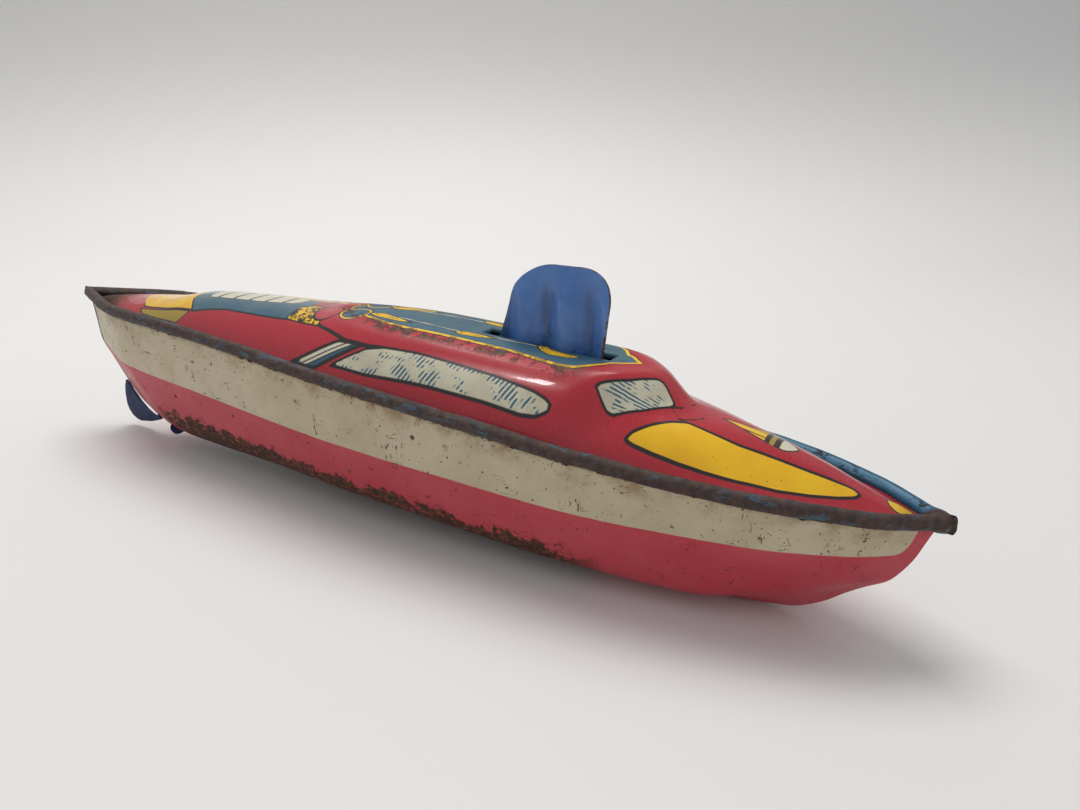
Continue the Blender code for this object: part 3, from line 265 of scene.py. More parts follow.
def distance_to(points, outline):
    """Signed distance in mm from each (x, y) to a closed outline, negative inside."""
    corners = np.array(outline, float)
    best = np.full(len(points), 1e9)
    inside = np.zeros(len(points), bool)
    for a, b in zip(corners, np.roll(corners, -1, axis=0)):
        edge = b - a
        rel = points - a
        share = np.clip((rel @ edge) / max(1e-9, edge @ edge), 0, 1)
        gap = rel - share[:, None] * edge
        best = np.minimum(best, np.hypot(gap[:, 0], gap[:, 1]))
        crosses = (a[1] > points[:, 1]) != (b[1] > points[:, 1])
        if a[1] != b[1]:
            at = a[0] + (points[:, 1] - a[1]) * (b[0] - a[0]) / (b[1] - a[1])
            inside ^= crosses & (points[:, 0] < at)
    return np.where(inside, -best, best)


def distance_to_line(points, line):
    """Distance in mm from each (x, y) to an open line."""
    best = np.full(len(points), 1e9)
    for a, b in zip(np.array(line[:-1], float), np.array(line[1:], float)):
        edge = b - a
        share = np.clip(((points - a) @ edge) / (edge @ edge), 0, 1)
        gap = points - a - share[:, None] * edge
        best = np.minimum(best, np.hypot(gap[:, 0], gap[:, 1]))
    return best


def whole(half_outline):
    """An outline that starts and ends on the centreline, or one side's outline, as it is used."""
    if half_outline[0][1] == 0 and half_outline[-1][1] == 0:
        mirrored = [(x, -y) for x, y in reversed(half_outline[1:-1])]
        return list(half_outline) + mirrored
    return list(half_outline)


# Meshes

def grid_mesh(name, rows, closed=False, flip=False):
    """A surface through rows of points in millimetres."""
    width = len(rows[0])
    points = [Vector(p) * MM for row in rows for p in row]
    faces = []
    for i in range(len(rows) - 1):
        for j in range(width if closed else width - 1):
            k = (j + 1) % width
            face = (i * width + j, i * width + k, (i + 1) * width + k, (i + 1) * width + j)
            faces.append(face[::-1] if flip else face)
    mesh = bpy.data.meshes.new(name)
    mesh.from_pydata(points, [], faces)
    mesh.validate()
    mesh.shade_smooth()
    obj = bpy.data.objects.new(name, mesh)
    bpy.context.scene.collection.objects.link(obj)
    return obj


def attribute(obj, name, values):
    """One number per point, for a material to read."""
    made = obj.data.attributes.new(name, "FLOAT", "POINT")
    made.data.foreach_set("value", np.asarray(values, np.float32))


def finish_piece(obj, body, node, material):
    """The piece stands in for one node of the mechanism and rides on its body."""
    obj.data.materials.append(material)
    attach(obj, body)
    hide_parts(node)
    return obj


def sheet(obj, thickness, offset=-1.0):
    """Gives a surface the thickness of its metal, in mm."""
    modifier = obj.modifiers.new("Sheet", "SOLIDIFY")
    modifier.thickness = thickness * MM
    modifier.offset = offset


def ripple(x, y, z, size, depth):
    """A small even dent pattern, in mm."""
    return depth * noise.noise(Vector((x, y, z)) / size)


# Hull

def hull_section(t):
    """Control points down the starboard side at t, y counted outwards."""
    breadth = half_breadth(t)
    rim_x = along(RIM_ENDS, t)
    rim = Vector((rim_x, breadth, rim_height(rim_x) - HULL_DROP))
    chine_x = along(CHINE_ENDS, t)
    chine = Vector((chine_x, CHINE_BREADTH * breadth, chine_height(chine_x)))
    waist_x = along(WAIST_ENDS, t)
    waist = Vector((waist_x, WAIST_BREADTH * breadth, rim.z + (chine.z - rim.z) * WAIST_DEPTH))
    keel_x = along(KEEL_ENDS, t)
    keel = Vector((keel_x, KEEL_BREADTH * breadth, keel_height(keel_x)))
    bow = float(smooth_step(0.92, 1.0, t))
    above = waist.lerp(chine, 0.55) + bow * STEM_FULLNESS
    below = chine.lerp(keel, 0.35) + bow * FOREFOOT_FULLNESS
    foot = chine.lerp(keel, 0.675) + bow * FOREFOOT_FULLNESS
    under_waist = waist.lerp(chine, 0.3) + 0.75 * bow * STEM_FULLNESS
    side = [rim, rim.lerp(waist, 0.5), waist, under_waist, above]
    for s in (0.35, 0.65):
        side.append(above * (1 - s) ** 2 + chine * (2 * s * (1 - s)) + below * s * s)
    side += [below, foot, keel, Vector((keel.x, 0, keel.z))]
    return side


def water_height(x):
    """Where the cream ends and the red begins; it sweeps up to the rim at the stem."""
    return polynomial(WATER_LINE, x) + WATER_RISE * smooth_step(*WATER_RISE_X, x) ** 2


def make_hull(material):
    """Outer and inner skins joined along the rim."""
    rows = []
    gaps = {"rim_gap": [], "chine_gap": [], "water_gap": [], "stem_gap": []}
    for i in range(HULL_STEPS + 1):
        t = i / HULL_STEPS
        eased = t - 0.06 * sin(2 * pi * t)
        side = through(hull_section(eased), 5)
        count = len(side) - 1
        outer, inner = [], []
        for j, p in enumerate(side):
            dent = ripple(p.x, p.y, p.z, 26, 0.35) + ripple(p.x, p.y + 90, p.z, 9, 0.10)
            dent *= smooth_step(0, 12, p.y) * smooth_step(0, 4, j)
            y = max(0.0, p.y - max(0, dent))
            outer.append(Vector((p.x, -y, p.z)))
            low = HULL_WALL * j / count
            inner.append(Vector((p.x, -max(0.0, y - HULL_WALL), p.z + low)))
        ring = outer + [Vector((p.x, -p.y, p.z)) for p in reversed(outer[:-1])]
        back = inner + [Vector((p.x, -p.y, p.z)) for p in reversed(inner[:-1])]
        rows.append(ring + back[::-1])
        for p in rows[-1]:
            gaps["rim_gap"].append(rim_height(p.x) - p.z)
            gaps["chine_gap"].append(p.z - chine_height(p.x))
            gaps["water_gap"].append(p.z - water_height(p.x))
            gaps["stem_gap"].append(min(eased, 1 - eased) * RIM_RUN)
    hull = grid_mesh("hull_shell", rows, closed=True)
    for name, values in gaps.items():
        attribute(hull, name, values)
    return finish_piece(hull, "root", "hull", material)


# Rolled gunwale

def make_gunwale():
    """The two sides of the rolled edge, which grow into a pinched lug at the bow."""
    rows = []
    for i in range(-2, BEAD_STEPS + 3):
        t = i / BEAD_STEPS
        inside = min(1.0, max(0.0, t))
        x = along(BEAD_ENDS, t)
        y = half_breadth(inside)
        run = 0.004
        slope = (half_breadth(inside + run) - half_breadth(inside - run)) / (2 * run * LENGTH)
        if t < 0 or t > 1:
            y = -BEAD_TIP_OVERLAP
        normal = Vector((-slope, 1, 0)).normalized()
        wave = ripple(x, 0, 0, 14, 0.35) + ripple(x, 7, 0, 5, 0.16)
        centre = Vector((x, y, rim_height(x) + ripple(x, 3, 9, 20, 0.3)))
        row = []
        for k in range(BEAD_AROUND):
            angle = 2 * pi * k / BEAD_AROUND
            radius = BEAD_RADIUS * (1 + 0.05 * noise.noise(Vector((x / 3, angle, 4))))
            radius *= 1 - 0.10 * max(0, sin(3 * angle + 1))
            radius *= 1 + LUG_GROWTH * smooth_step(LUG_START, LUG_END, t)
            out = radius * cos(angle)
            up = 0.97 * radius * sin(angle)
            p = centre + normal * out + Vector((0, 0, up))
            p.y = max(0.0, p.y + wave * smooth_step(0, 10, y))
            row.append(Vector((p.x, -p.y, p.z)))
        rows.append(row)
    halves = [grid_mesh("bead_starboard", rows, closed=True)]
    port = [[Vector((p.x, -p.y, p.z)) for p in row] for row in rows]
    halves.append(grid_mesh("bead_port", port, closed=True, flip=True))
    return halves


def join(name, objects):
    """One object of several, sharing points where they meet."""
    with bpy.context.temp_override(active_object=objects[0], selected_editable_objects=objects):
        bpy.ops.object.join()
    objects[0].name = name
    weld = objects[0].modifiers.new("Meeting points", "WELD")
    weld.merge_threshold = 0.02 * MM
    return objects[0]


# Deck

def deck_half_breadth(x):
    return max(0.02, half_breadth_at(x) - DECK_INSET)


def deck_height(x, y):
    """The cabin and the foredeck: a centreline and how squarely the section falls to the rim."""
    sweep = SCREEN_SWEEP * smooth_step(20, 50, x)
    behind = sqrt(y * y + NOSE_RADIUS ** 2) - NOSE_RADIUS
    centre = centreline_curve(x + sweep * behind)
    drop = MARGIN_DROP + (STERN_MARGIN_DROP - MARGIN_DROP) * smooth_step(-60, -105, x)
    share = min(1.0, abs(y) / max(0.1, half_breadth_at(x) - 2.1))
    flare = 1 + (FLARE - 1) * smooth_step(-50, -20, x)
    return rim_height(x) - drop + (centre + drop) * (1 - share ** crown_power(x)) ** flare


def deck_rows():
    """Rows of points across the deck, one of them along each edge of the slot."""
    xs = sorted({*np.arange(DECK_ENDS[0], DECK_ENDS[1], DECK_STEP), DECK_ENDS[1], *SLOT})
    rows = []
    for x in xs:
        breadth = deck_half_breadth(x)
        edge = min(SLOT_HALF_WIDTH, breadth * 0.3)
        side = [0.0, edge]
        side += [edge + (breadth - edge) * k / DECK_COLUMNS for k in range(1, DECK_COLUMNS + 1)]
        row = []
        for y in [-v for v in reversed(side[1:])] + side:
            z = deck_height(x, y) + ripple(x, y, 5, 18, 0.16)
            row.append(Vector((x, y, z)))
        rows.append(row)
    return rows


def measure_prints(deck):
    """Writes how far each point of the deck is from every printed outline."""
    where = np.array([v.co for v in deck.data.vertices]) / MM
    flat = np.c_[where[:, 0], np.abs(where[:, 1])]
    shapes = {"roof": ROOF_PANEL, "cabin_end": CABIN_END, "side_window": SIDE_WINDOW,
              "stripes": STRIPES, "windscreen": WINDSCREEN, "foredeck": FOREDECK_PANEL,
              "bow_panel": BOW_PANEL, "lamp": LAMP, "hump": HUMP_TOP, "grille": GRILLE,
              "ornament": ORNAMENT, "stern": STERN_PANEL, "olive": OLIVE_PANEL,
              "stern_spot": STERN_SPOT, "arrow_fore": ARROW_FORE, "arrow_aft": ARROW_AFT,
              "arrow_stern": ARROW_STERN}
    for name, outline in shapes.items():
        attribute(deck, name, distance_to(flat, whole(outline)))
    lines = [distance_to_line(flat, line) for line in (PILLAR_LINE, NOSE_LINE, FOREDECK_LINE)]
    attribute(deck, "ink_lines", np.minimum.reduce(lines))
    attribute(deck, "white_line", distance_to_line(flat, WHITE_LINE))
    attribute(deck, "off_centre", flat[:, 1])
    attribute(deck, "port_panel", distance_to(where[:, :2], PORT_PANEL))
    a, b = np.array(STRIPES[0]), np.array(STRIPES[1])
    slant = (b - a) / np.linalg.norm(b - a)
    attribute(deck, "across_stripes", (flat - a) @ np.array((-slant[1], slant[0])))
    for name, ((x, y), radius) in {"red_seat": RED_SEAT, "blue_seat": BLUE_SEAT}.items():
        attribute(deck, name, np.hypot(flat[:, 0] - x, flat[:, 1] - y) - radius)
    edge = [deck_half_breadth(x) for x in where[:, 0]]
    attribute(deck, "edge_gap", np.array(edge) - flat[:, 1])


def make_deck(material):
    deck = grid_mesh("deck_sheet", deck_rows())
    cut_slot(deck)
    measure_prints(deck)
    sheet(deck, SHEET)
    return finish_piece(deck, "root", "deck", material)


def cut_slot(deck):
    """Removes the faces over the lever slot and turns a short lip down round it."""
    bm = bmesh.new()
    bm.from_mesh(deck.data)
    low, high = SLOT[0] * MM, SLOT[1] * MM
    gone = []
    for face in bm.faces:
        middle = face.calc_center_median()
        if low < middle.x < high and abs(middle.y) < SLOT_HALF_WIDTH * MM:
            gone.append(face)
    bmesh.ops.delete(bm, geom=gone, context="FACES")
    around = []
    for edge in bm.edges:
        middle = (edge.verts[0].co + edge.verts[1].co) / 2
        near = low - MM < middle.x < high + MM and abs(middle.y) < (SLOT_HALF_WIDTH + 0.1) * MM
        if edge.is_boundary and near:
            around.append(edge)
    grown = bmesh.ops.extrude_edge_only(bm, edges=around)["geom"]
    for item in grown:
        if isinstance(item, bmesh.types.BMVert):
            item.co.z -= SLOT_LIP * MM
    bm.to_mesh(deck.data)
    bm.free()


# Thumb tab

def tab_edges(z):
    """The aft and the forward edge of the tab at that height, with rounded corners on top."""
    share = (z - ROOF_Z) / (TAB_TOP_Z - ROOF_Z)
    aft = along(TAB_AFT, share)
    fwd = along(TAB_FWD, share)
    above = z - (TAB_TOP_Z - TAB_CORNER)
    if above > 0:
        trim = TAB_CORNER - sqrt(max(0.0, TAB_CORNER ** 2 - above ** 2))
        aft += trim
        fwd -= trim
    return aft, fwd


def make_tab(material):
    """Fluted sheet; the flutes fade out below the deck and near the top."""
    heights = list(np.linspace(TAB_FOOT_Z, TAB_TOP_Z - TAB_CORNER, 30))
    heights += [TAB_TOP_Z - TAB_CORNER * (1 - sin(radians(a))) for a in range(5, 91, 5)]
    rows = []
    rounding = []
    hollows = []
    for z in heights:
        aft, fwd = tab_edges(z)
        depth = FLUTE_DEPTH * smooth_step(TAB_FOOT_Z + 3, ROOF_Z - 1, z)
        depth *= 1 - smooth_step(TAB_TOP_Z - 9, TAB_TOP_Z - 0.5, z)
        row = []
        for j in range(TAB_COLUMNS + 1):
            x = aft + (fwd - aft) * j / TAB_COLUMNS
            share = (x - TAB_AFT[0]) / (TAB_FWD[1] - TAB_AFT[0])
            wave = cos(5 * pi * (share - 0.06) / 0.9 + pi)
            row.append(Vector((x, TAB_Y - depth * wave + ripple(x, z, 0, 8, 0.12), z)))
            rounding.append(min(x - aft, fwd - x, TAB_TOP_Z - z))
            hollows.append(max(0.0, -wave) * depth / FLUTE_DEPTH)
        rows.append(row)
    tab = grid_mesh("thumb_tab_sheet", rows)
    attribute(tab, "edge_gap", rounding)
    # How deep each point lies in a flute; the lever paint darkens the flutes there as painted shade.
    attribute(tab, "hollow", hollows)
    sheet(tab, TAB_SHEET, offset=0.0)
    bevel = tab.modifiers.new("Rounded edge", "BEVEL")
    bevel.width = 0.2 * MM
    bevel.segments = 2
    bevel.limit_method = "ANGLE"
    return finish_piece(tab, "lever", "thumb_tab", material)


# Materials

class Paint:
    """One node material, built up from colour layers."""

    def __init__(self, name, metallic=0.0):
        self.material = bpy.data.materials.new(name)
        self.material.use_nodes = True
        self.tree = self.material.node_tree
        self.shader = self.tree.nodes["Principled BSDF"]
        self.shader.inputs["Metallic"].default_value = metallic
        self.place = self.tree.nodes.new("ShaderNodeTexCoord").outputs["Object"]

    def put(self, value, socket):
        if isinstance(value, bpy.types.NodeSocket):
            self.tree.links.new(value, socket)
        elif isinstance(value, tuple):
            socket.default_value = (*value, 1) if len(socket.default_value) == 4 else value
        else:
            socket.default_value = value

    def math(self, operation, a, b=0.0, clamp=False):
        node = self.tree.nodes.new("ShaderNodeMath")
        node.operation = operation
        node.use_clamp = clamp
        self.put(a, node.inputs[0])
        self.put(b, node.inputs[1])
        return node.outputs[0]

    def attribute(self, name):
        node = self.tree.nodes.new("ShaderNodeAttribute")
        node.attribute_name = name
        return node.outputs["Fac"]

    def step(self, value, low, high):
        """0 at low, 1 at high, smooth in between."""
        node = self.tree.nodes.new("ShaderNodeMapRange")
        node.interpolation_type = "SMOOTHSTEP"
        self.put(value, node.inputs["Value"])
        self.put(low, node.inputs["From Min"])
        self.put(high, node.inputs["From Max"])
        return node.outputs["Result"]

    def stretched(self, scale):
        node = self.tree.nodes.new("ShaderNodeMapping")
        self.tree.links.new(self.place, node.inputs["Vector"])
        node.inputs["Scale"].default_value = scale
        return node.outputs["Vector"]

    def noise(self, size, detail=4.0, rough=0.6, stretch=(1, 1, 1), seed=0.0):
        """Noise about 0.5, whose lumps are about size mm across."""
        node = self.tree.nodes.new("ShaderNodeTexNoise")
        node.noise_dimensions = "4D"
        self.put(self.stretched(stretch), node.inputs["Vector"])
        node.inputs["W"].default_value = seed
        node.inputs["Scale"].default_value = 1 / (size * MM)
        node.inputs["Detail"].default_value = detail
        node.inputs["Roughness"].default_value = rough
        return node.outputs["Fac"]

    def spots(self, size, low, high, seed=0.0, stretch=(1, 1, 1)):
        """Scattered spots about size mm apart: 1 inside a spot."""
        node = self.tree.nodes.new("ShaderNodeTexVoronoi")
        node.voronoi_dimensions = "4D"
        self.put(self.stretched(stretch), node.inputs["Vector"])
        node.inputs["W"].default_value = seed
        node.inputs["Scale"].default_value = 1 / (size * MM)
        return self.math("SUBTRACT", 1.0, self.step(node.outputs["Distance"], low, high))

    def mix(self, factor, a, b):
        node = self.tree.nodes.new("ShaderNodeMix")
        node.data_type = "RGBA"
        self.put(factor, node.inputs["Factor"])
        self.put(a, node.inputs[6])
        self.put(b, node.inputs[7])
        return node.outputs[2]

    def blend(self, factor, a, b):
        """Between two plain values."""
        node = self.tree.nodes.new("ShaderNodeMix")
        self.put(factor, node.inputs["Factor"])
        self.put(a, node.inputs[2])
        self.put(b, node.inputs[3])
        return node.outputs[0]

    def any_of(self, *masks):
        found = masks[0]
        for other in masks[1:]:
            found = self.math("MAXIMUM", found, other)
        return found

    def times(self, *masks):
        found = masks[0]
        for other in masks[1:]:
            found = self.math("MULTIPLY", found, other)
        return found

    def inside(self, distance, by=0.0, soft=0.10):
        """1 where the distance is under by."""
        return self.math("SUBTRACT", 1.0, self.step(distance, by - soft, by + soft))

    def line(self, distance, at, width, soft=0.08):
        """1 along a line at that distance from an outline."""
        gap = self.math("ABSOLUTE", self.math("SUBTRACT", distance, at))
        return self.inside(gap, width / 2, soft)

    def surface(self, colour, roughness, bump=None, depth=0.1, coat=0.0, metallic=None):
        self.put(colour, self.shader.inputs["Base Color"])
        self.put(roughness, self.shader.inputs["Roughness"])
        self.put(coat, self.shader.inputs["Coat Weight"])
        self.shader.inputs["Coat Roughness"].default_value = 0.08
        self.shader.inputs["Specular IOR Level"].default_value = 0.3
        if metallic is not None:
            self.put(metallic, self.shader.inputs["Metallic"])
        if bump is not None:
            node = self.tree.nodes.new("ShaderNodeBump")
            node.inputs["Distance"].default_value = depth * MM
            self.put(bump, node.inputs["Height"])
            self.tree.links.new(node.outputs["Normal"], self.shader.inputs["Normal"])
        return self.material


def rust_colour(paint, seed=3):
    """Dark rust with lighter patches."""
    return paint.mix(paint.step(paint.noise(1.4, detail=5, seed=seed), 0.45, 0.72), RUST, RUST_LIGHT)


def halftone(paint, colour, shade, size=0.42, light=CREAM):
    """The fine dot pattern of a printed tint."""
    dots = paint.spots(size, 0.15, 0.5, seed=2)
    return paint.mix(paint.math("MULTIPLY", dots, shade), colour, light)


def mottled(paint, first, second, size, seed):
    """Two colours in soft clouds of that size, in mm."""
    return paint.mix(paint.step(paint.noise(size, detail=6, seed=seed), 0.35, 0.68), first, second)


def worn_edge(paint, gap, reach, size, seed, amount=0.0):
    """Patches that eat in from an edge: gap is the distance from it in mm."""
    ragged = paint.noise(size, detail=8, rough=0.72, seed=seed)
    near = paint.math("SUBTRACT", 1.0, paint.step(gap, 0.0, reach))
    level = paint.math("ADD", ragged, paint.math("MULTIPLY", near, 0.42))
    return paint.step(level, 0.80 - amount, 0.85 - amount)


def specks(paint, size, radius, seed, amount=0.5):
    """Tiny spots, thick in some places and missing in others."""
    found = paint.spots(size, radius * 0.5, radius, seed=seed)
    return paint.times(found, paint.step(paint.noise(9, detail=4, seed=seed + 0.5), amount, amount + 0.12))


def scratches(paint, seed, along=(0.12, 1, 1)):
    """Fine short lines where a noise drawn out along one axis crosses its middle value."""
    fine = paint.noise(1.1, detail=2, stretch=along, seed=seed)
    thin = paint.inside(paint.math("ABSOLUTE", paint.math("SUBTRACT", fine, 0.5)), 0.012, 0.006)
    return paint.times(thin, paint.step(paint.noise(5, detail=4, seed=seed + 0.5), 0.595, 0.635))


def x_of(paint, axis="X"):
    """One object coordinate in millimetres."""
    node = paint.tree.nodes.new("ShaderNodeSeparateXYZ")
    paint.tree.links.new(paint.place, node.inputs[0])
    return paint.math("MULTIPLY", node.outputs[axis], 1000.0)


def hull_colour(paint):
    """Cream above the waterline and red below it, with stains."""
    water = paint.math("ADD", paint.attribute("water_gap"),
                       paint.math("MULTIPLY", paint.noise(12, seed=5), 0.5))
    above = paint.step(water, 0.12, 0.4)
    red = mottled(paint, HULL_RED, (0.56, 0.075, 0.095), 26, 6)
    grain = paint.math("MULTIPLY", paint.noise(0.5, detail=2, seed=6.5), 0.35)
    red = paint.mix(grain, red, (0.38, 0.03, 0.045))
    cream = mottled(paint, CREAM, (0.50, 0.42, 0.27), 15, 7)
    halo = paint.math("SUBTRACT", 1.0, paint.step(paint.attribute("rim_gap"), 1.4, 7.5))
    halo = paint.times(halo, paint.step(paint.noise(7, detail=6, rough=0.65, seed=8), 0.42, 0.66))
    cream = paint.mix(paint.math("MULTIPLY", halo, 0.85), cream, (0.28, 0.15, 0.06))
    dust = paint.step(paint.noise(3.2, detail=7, rough=0.7, seed=9), 0.55, 0.75)
    cream = paint.mix(paint.math("MULTIPLY", dust, 0.5), cream, (0.32, 0.21, 0.10))
    return paint.mix(above, red, cream)


def hull_wear(paint):
    """Rust along the chine, flakes, specks and scratches."""
    x = x_of(paint)
    chine = paint.math("SUBTRACT", paint.attribute("chine_gap"), -1.0)
    middle = paint.times(paint.step(x, -104, -66), paint.inside(x, 60, 34))
    low = worn_edge(paint, chine, 12.5, 4.6, 11, 0.060)
    broken = paint.step(paint.noise(1.5, detail=6, rough=0.75, seed=11.5), 0.40, 0.47)
    low = paint.step(paint.times(low, middle, broken), 0.3, 0.6)
    stern = worn_edge(paint, paint.attribute("stem_gap"), 7.0, 2.4, 12, 0.02)
    stern = paint.times(stern, paint.inside(x, 0, 4))
    under_rim = paint.math("SUBTRACT", paint.attribute("rim_gap"), HULL_DROP)
    top = worn_edge(paint, under_rim, 2.2, 2.2, 13, -0.01)
    flakes = paint.step(paint.noise(3.4, detail=8, rough=0.72, seed=14), 0.672, 0.69)
    marks = paint.step(paint.noise(6.5, detail=10, rough=0.76, seed=14.3), 0.650, 0.665)
    flakes = paint.any_of(flakes, marks)
    below_rim = paint.inside(paint.attribute("rim_gap"), 9, 7)
    peppered = paint.times(specks(paint, 0.9, 0.26, 16.5, 0.38), below_rim)
    dots = paint.any_of(specks(paint, 1.4, 0.22, 15, 0.42), specks(paint, 5.5, 0.17, 16, 0.36), peppered)
    lines = paint.any_of(scratches(paint, 17), scratches(paint, 18, (1, 1, 0.2)))
    return paint.any_of(low, stern, top, flakes, dots, lines)


def hull_paint():
    paint = Paint("printed_hull")
    rust = hull_wear(paint)
    colour = paint.mix(rust, hull_colour(paint), rust_colour(paint))
    rough = paint.blend(rust, paint.blend(paint.noise(10, seed=19), 0.38, 0.54), 0.8)
    relief = paint.math("SUBTRACT", paint.noise(22, seed=20), paint.math("MULTIPLY", rust, 0.6))
    return paint.surface(colour, rough, relief, 0.12, coat=paint.blend(rust, 0.10, 0.0))


class Print:
    """Layers of printing on one sheet, laid over each other."""

    def __init__(self, paint, ground, names):
        self.paint = paint
        self.colour = ground
        self.gap = {name: paint.attribute(name) for name in names}

    def lay(self, mask, colour):
        self.colour = self.paint.mix(mask, self.colour, colour)

    def area(self, name, fill, ink=0.5):
        self.lay(self.paint.inside(self.gap[name]), fill)
        if ink:
            self.lay(self.paint.line(self.gap[name], 0, ink), INK)

    def stroke(self, name, at, width, colour):
        self.lay(self.paint.line(self.gap[name], at, width), colour)


DECK_PRINTS = ("roof", "cabin_end", "side_window", "stripes", "windscreen", "foredeck", "bow_panel",
               "lamp", "hump", "grille", "ornament", "stern", "olive", "stern_spot", "red_seat",
               "blue_seat", "edge_gap", "ink_lines", "white_line", "off_centre", "port_panel",
               "across_stripes", "arrow_fore", "arrow_aft", "arrow_stern")


def print_stern(sheet, teal):
    """Yellow, olive and pink shapes astern, then the blue hump with its grille."""
    paint = sheet.paint
    yellow = mottled(paint, YELLOW, (0.72, 0.38, 0.02), 8, 33)
    sheet.area("olive", OLIVE, 0.35)
    sheet.area("stern", yellow, 0.5)
    sheet.area("stern_spot", PINK, 0)
    port = paint.times(paint.inside(sheet.gap["port_panel"]), 0.9)
    sheet.area("hump", teal, 0.5)
    sheet.area("grille", grille_print(paint), 0.4)
    sheet.lay(port, (0.66, 0.46, 0.14))


def print_roof(sheet, teal):
    """Blue roof in a yellow and black outline, with arrows and a white line."""
    paint = sheet.paint
    fore = paint.inside(x_of(paint), 10.5, 0.2)
    sheet.lay(paint.times(paint.line(sheet.gap["cabin_end"], 0, 0.7), fore), INK)
    sheet.area("roof", teal, 0)
    sheet.stroke("roof", -0.3, 0.75, YELLOW)
    sheet.stroke("roof", 0.3, 0.3, INK)
    sheet.stroke("white_line", 0, 0.5, PALE)
    sheet.stroke("white_line", 0.45, 0.2, INK)
    flecks = paint.step(paint.noise(1.5, detail=4, rough=0.7, seed=23), 0.47, 0.55)
    sheet.area("ornament", paint.mix(flecks, INK, YELLOW), 0.4)
    sheet.area("red_seat", mottled(paint, DECK_RED, (0.45, 0.06, 0.06), 3, 34), 0.6)
    sheet.area("blue_seat", teal, 0.3)
    sheet.stroke("blue_seat", 0.35, 0.5, YELLOW)
    sheet.stroke("blue_seat", 0.8, 0.3, INK)
    for name in ("arrow_fore", "arrow_aft", "arrow_stern"):
        sheet.area(name, YELLOW, 0.35)
        sheet.stroke(name, -0.75, 0.2, INK)


def print_windows(sheet):
    """Side windows, the stripes behind them and the windscreen."""
    paint = sheet.paint
    across = sheet.gap["across_stripes"]
    bands = paint.mix(paint.step(across, 1.5, 1.6), PALE, TEAL)
    for at, width in ((0.95, 0.22), (1.55, 0.2), (0.0, 0.5), (2.45, 0.45)):
        bands = paint.mix(paint.line(across, at, width), bands, INK)
    sheet.area("stripes", bands, 0.6)
    sheet.area("side_window", glass_print(sheet, 31, (0.60, 0.80), 8.5), 0.36)
    sheet.area("windscreen", glass_print(sheet, 32, (0.30, 0.95), 12.5), 0.44)
    sheet.lay(paint.inside(sheet.gap["ink_lines"], 0.24), INK)


def print_foredeck(sheet):
    """Yellow panels, the lamp on the centreline and the panel at the bow."""
    paint = sheet.paint
    yellow = mottled(paint, YELLOW, (0.82, 0.43, 0.006), 12, 24)
    yellow = paint.mix(specks(paint, 1.0, 0.2, 35, 0.45), yellow, RUST)
    sheet.area("foredeck", yellow, 0.6)
    sheet.area("bow_panel", YELLOW, 0.35)
    x = x_of(paint)
    sheet.area("lamp", paint.mix(paint.step(x, 97.4, 97.8), YELLOW, PALE), 0.4)
    on_lamp = paint.inside(sheet.gap["lamp"])
    streak = paint.inside(paint.math("ABSOLUTE", paint.math("SUBTRACT", sheet.gap["off_centre"], 1.1)), 0.2)
    sheet.lay(paint.times(streak, on_lamp, paint.inside(x, 96, 0.2)), INK)
    band = paint.times(on_lamp, paint.step(x, 94.2, 94.5), paint.inside(x, 97.6, 0.15))
    ring = paint.line(x, 95.9, 1.0, 0.1)
    sheet.lay(band, paint.mix(ring, INK, OLIVE))


def deck_wear(paint, gap):
    """Rust at the rim and both ends, a shabby band round the roof, chips and dots."""
    x = x_of(paint)
    rim = worn_edge(paint, gap["edge_gap"], 1.7, 2.0, 25, -0.01)
    ends = paint.any_of(paint.inside(x, -104, 9), paint.step(x, 118, 130))
    ends = paint.times(ends, paint.step(paint.noise(4, detail=6, seed=26), 0.30, 0.46))
    band = paint.inside(paint.math("ABSOLUTE", paint.math("SUBTRACT", gap["roof"], 0.9)), 1.5, 1.1)
    band = paint.times(band, paint.inside(x, 56, 8), paint.step(x, -30, -18))
    shabby = paint.times(band, paint.step(paint.noise(3.4, detail=8, rough=0.75, seed=27), 0.49, 0.53))
    worn = paint.step(paint.noise(6, detail=8, rough=0.7, seed=28), 0.61, 0.64)
    roof = paint.times(paint.inside(gap["roof"]), worn)
    chips = paint.step(paint.noise(2.2, detail=5, rough=0.65, seed=29), 0.735, 0.75)
    dots = specks(paint, 1.1, 0.15, 36, 0.50)
    return paint.any_of(rim, ends, shabby, roof, chips, dots)


def deck_paint():
    paint = Paint("printed_deck")
    red = mottled(paint, DECK_RED, (0.40, 0.014, 0.026), 24, 21)
    red = halftone(paint, red, 0.30, 0.34, (0.68, 0.13, 0.14))
    sheet = Print(paint, red, DECK_PRINTS)
    teal = mottled(paint, TEAL, (0.060, 0.135, 0.165), 7, 22)
    print_stern(sheet, teal)
    print_roof(sheet, teal)
    print_windows(sheet)
    print_foredeck(sheet)
    rust = deck_wear(paint, sheet.gap)
    colour = paint.mix(rust, sheet.colour, rust_colour(paint))
    rough = paint.blend(rust, paint.blend(paint.noise(10, seed=30), 0.16, 0.30), 0.75)
    dull = paint.times(paint.inside(sheet.gap["roof"], 3.0, 2.2), paint.step(x_of(paint), -34, -22))
    rough = paint.blend(dull, rough, 0.58)
    glaze = paint.times(paint.blend(rust, 0.45, 0.0), paint.blend(dull, 1.0, 0.12))
    grain = paint.math("MULTIPLY", paint.noise(0.6, detail=3, seed=37), 0.10)
    relief = paint.math("SUBTRACT", paint.noise(16, seed=38), paint.math("MULTIPLY", rust, 0.5))
    return paint.surface(colour, rough, paint.math("ADD", relief, grain), 0.09, coat=glaze)


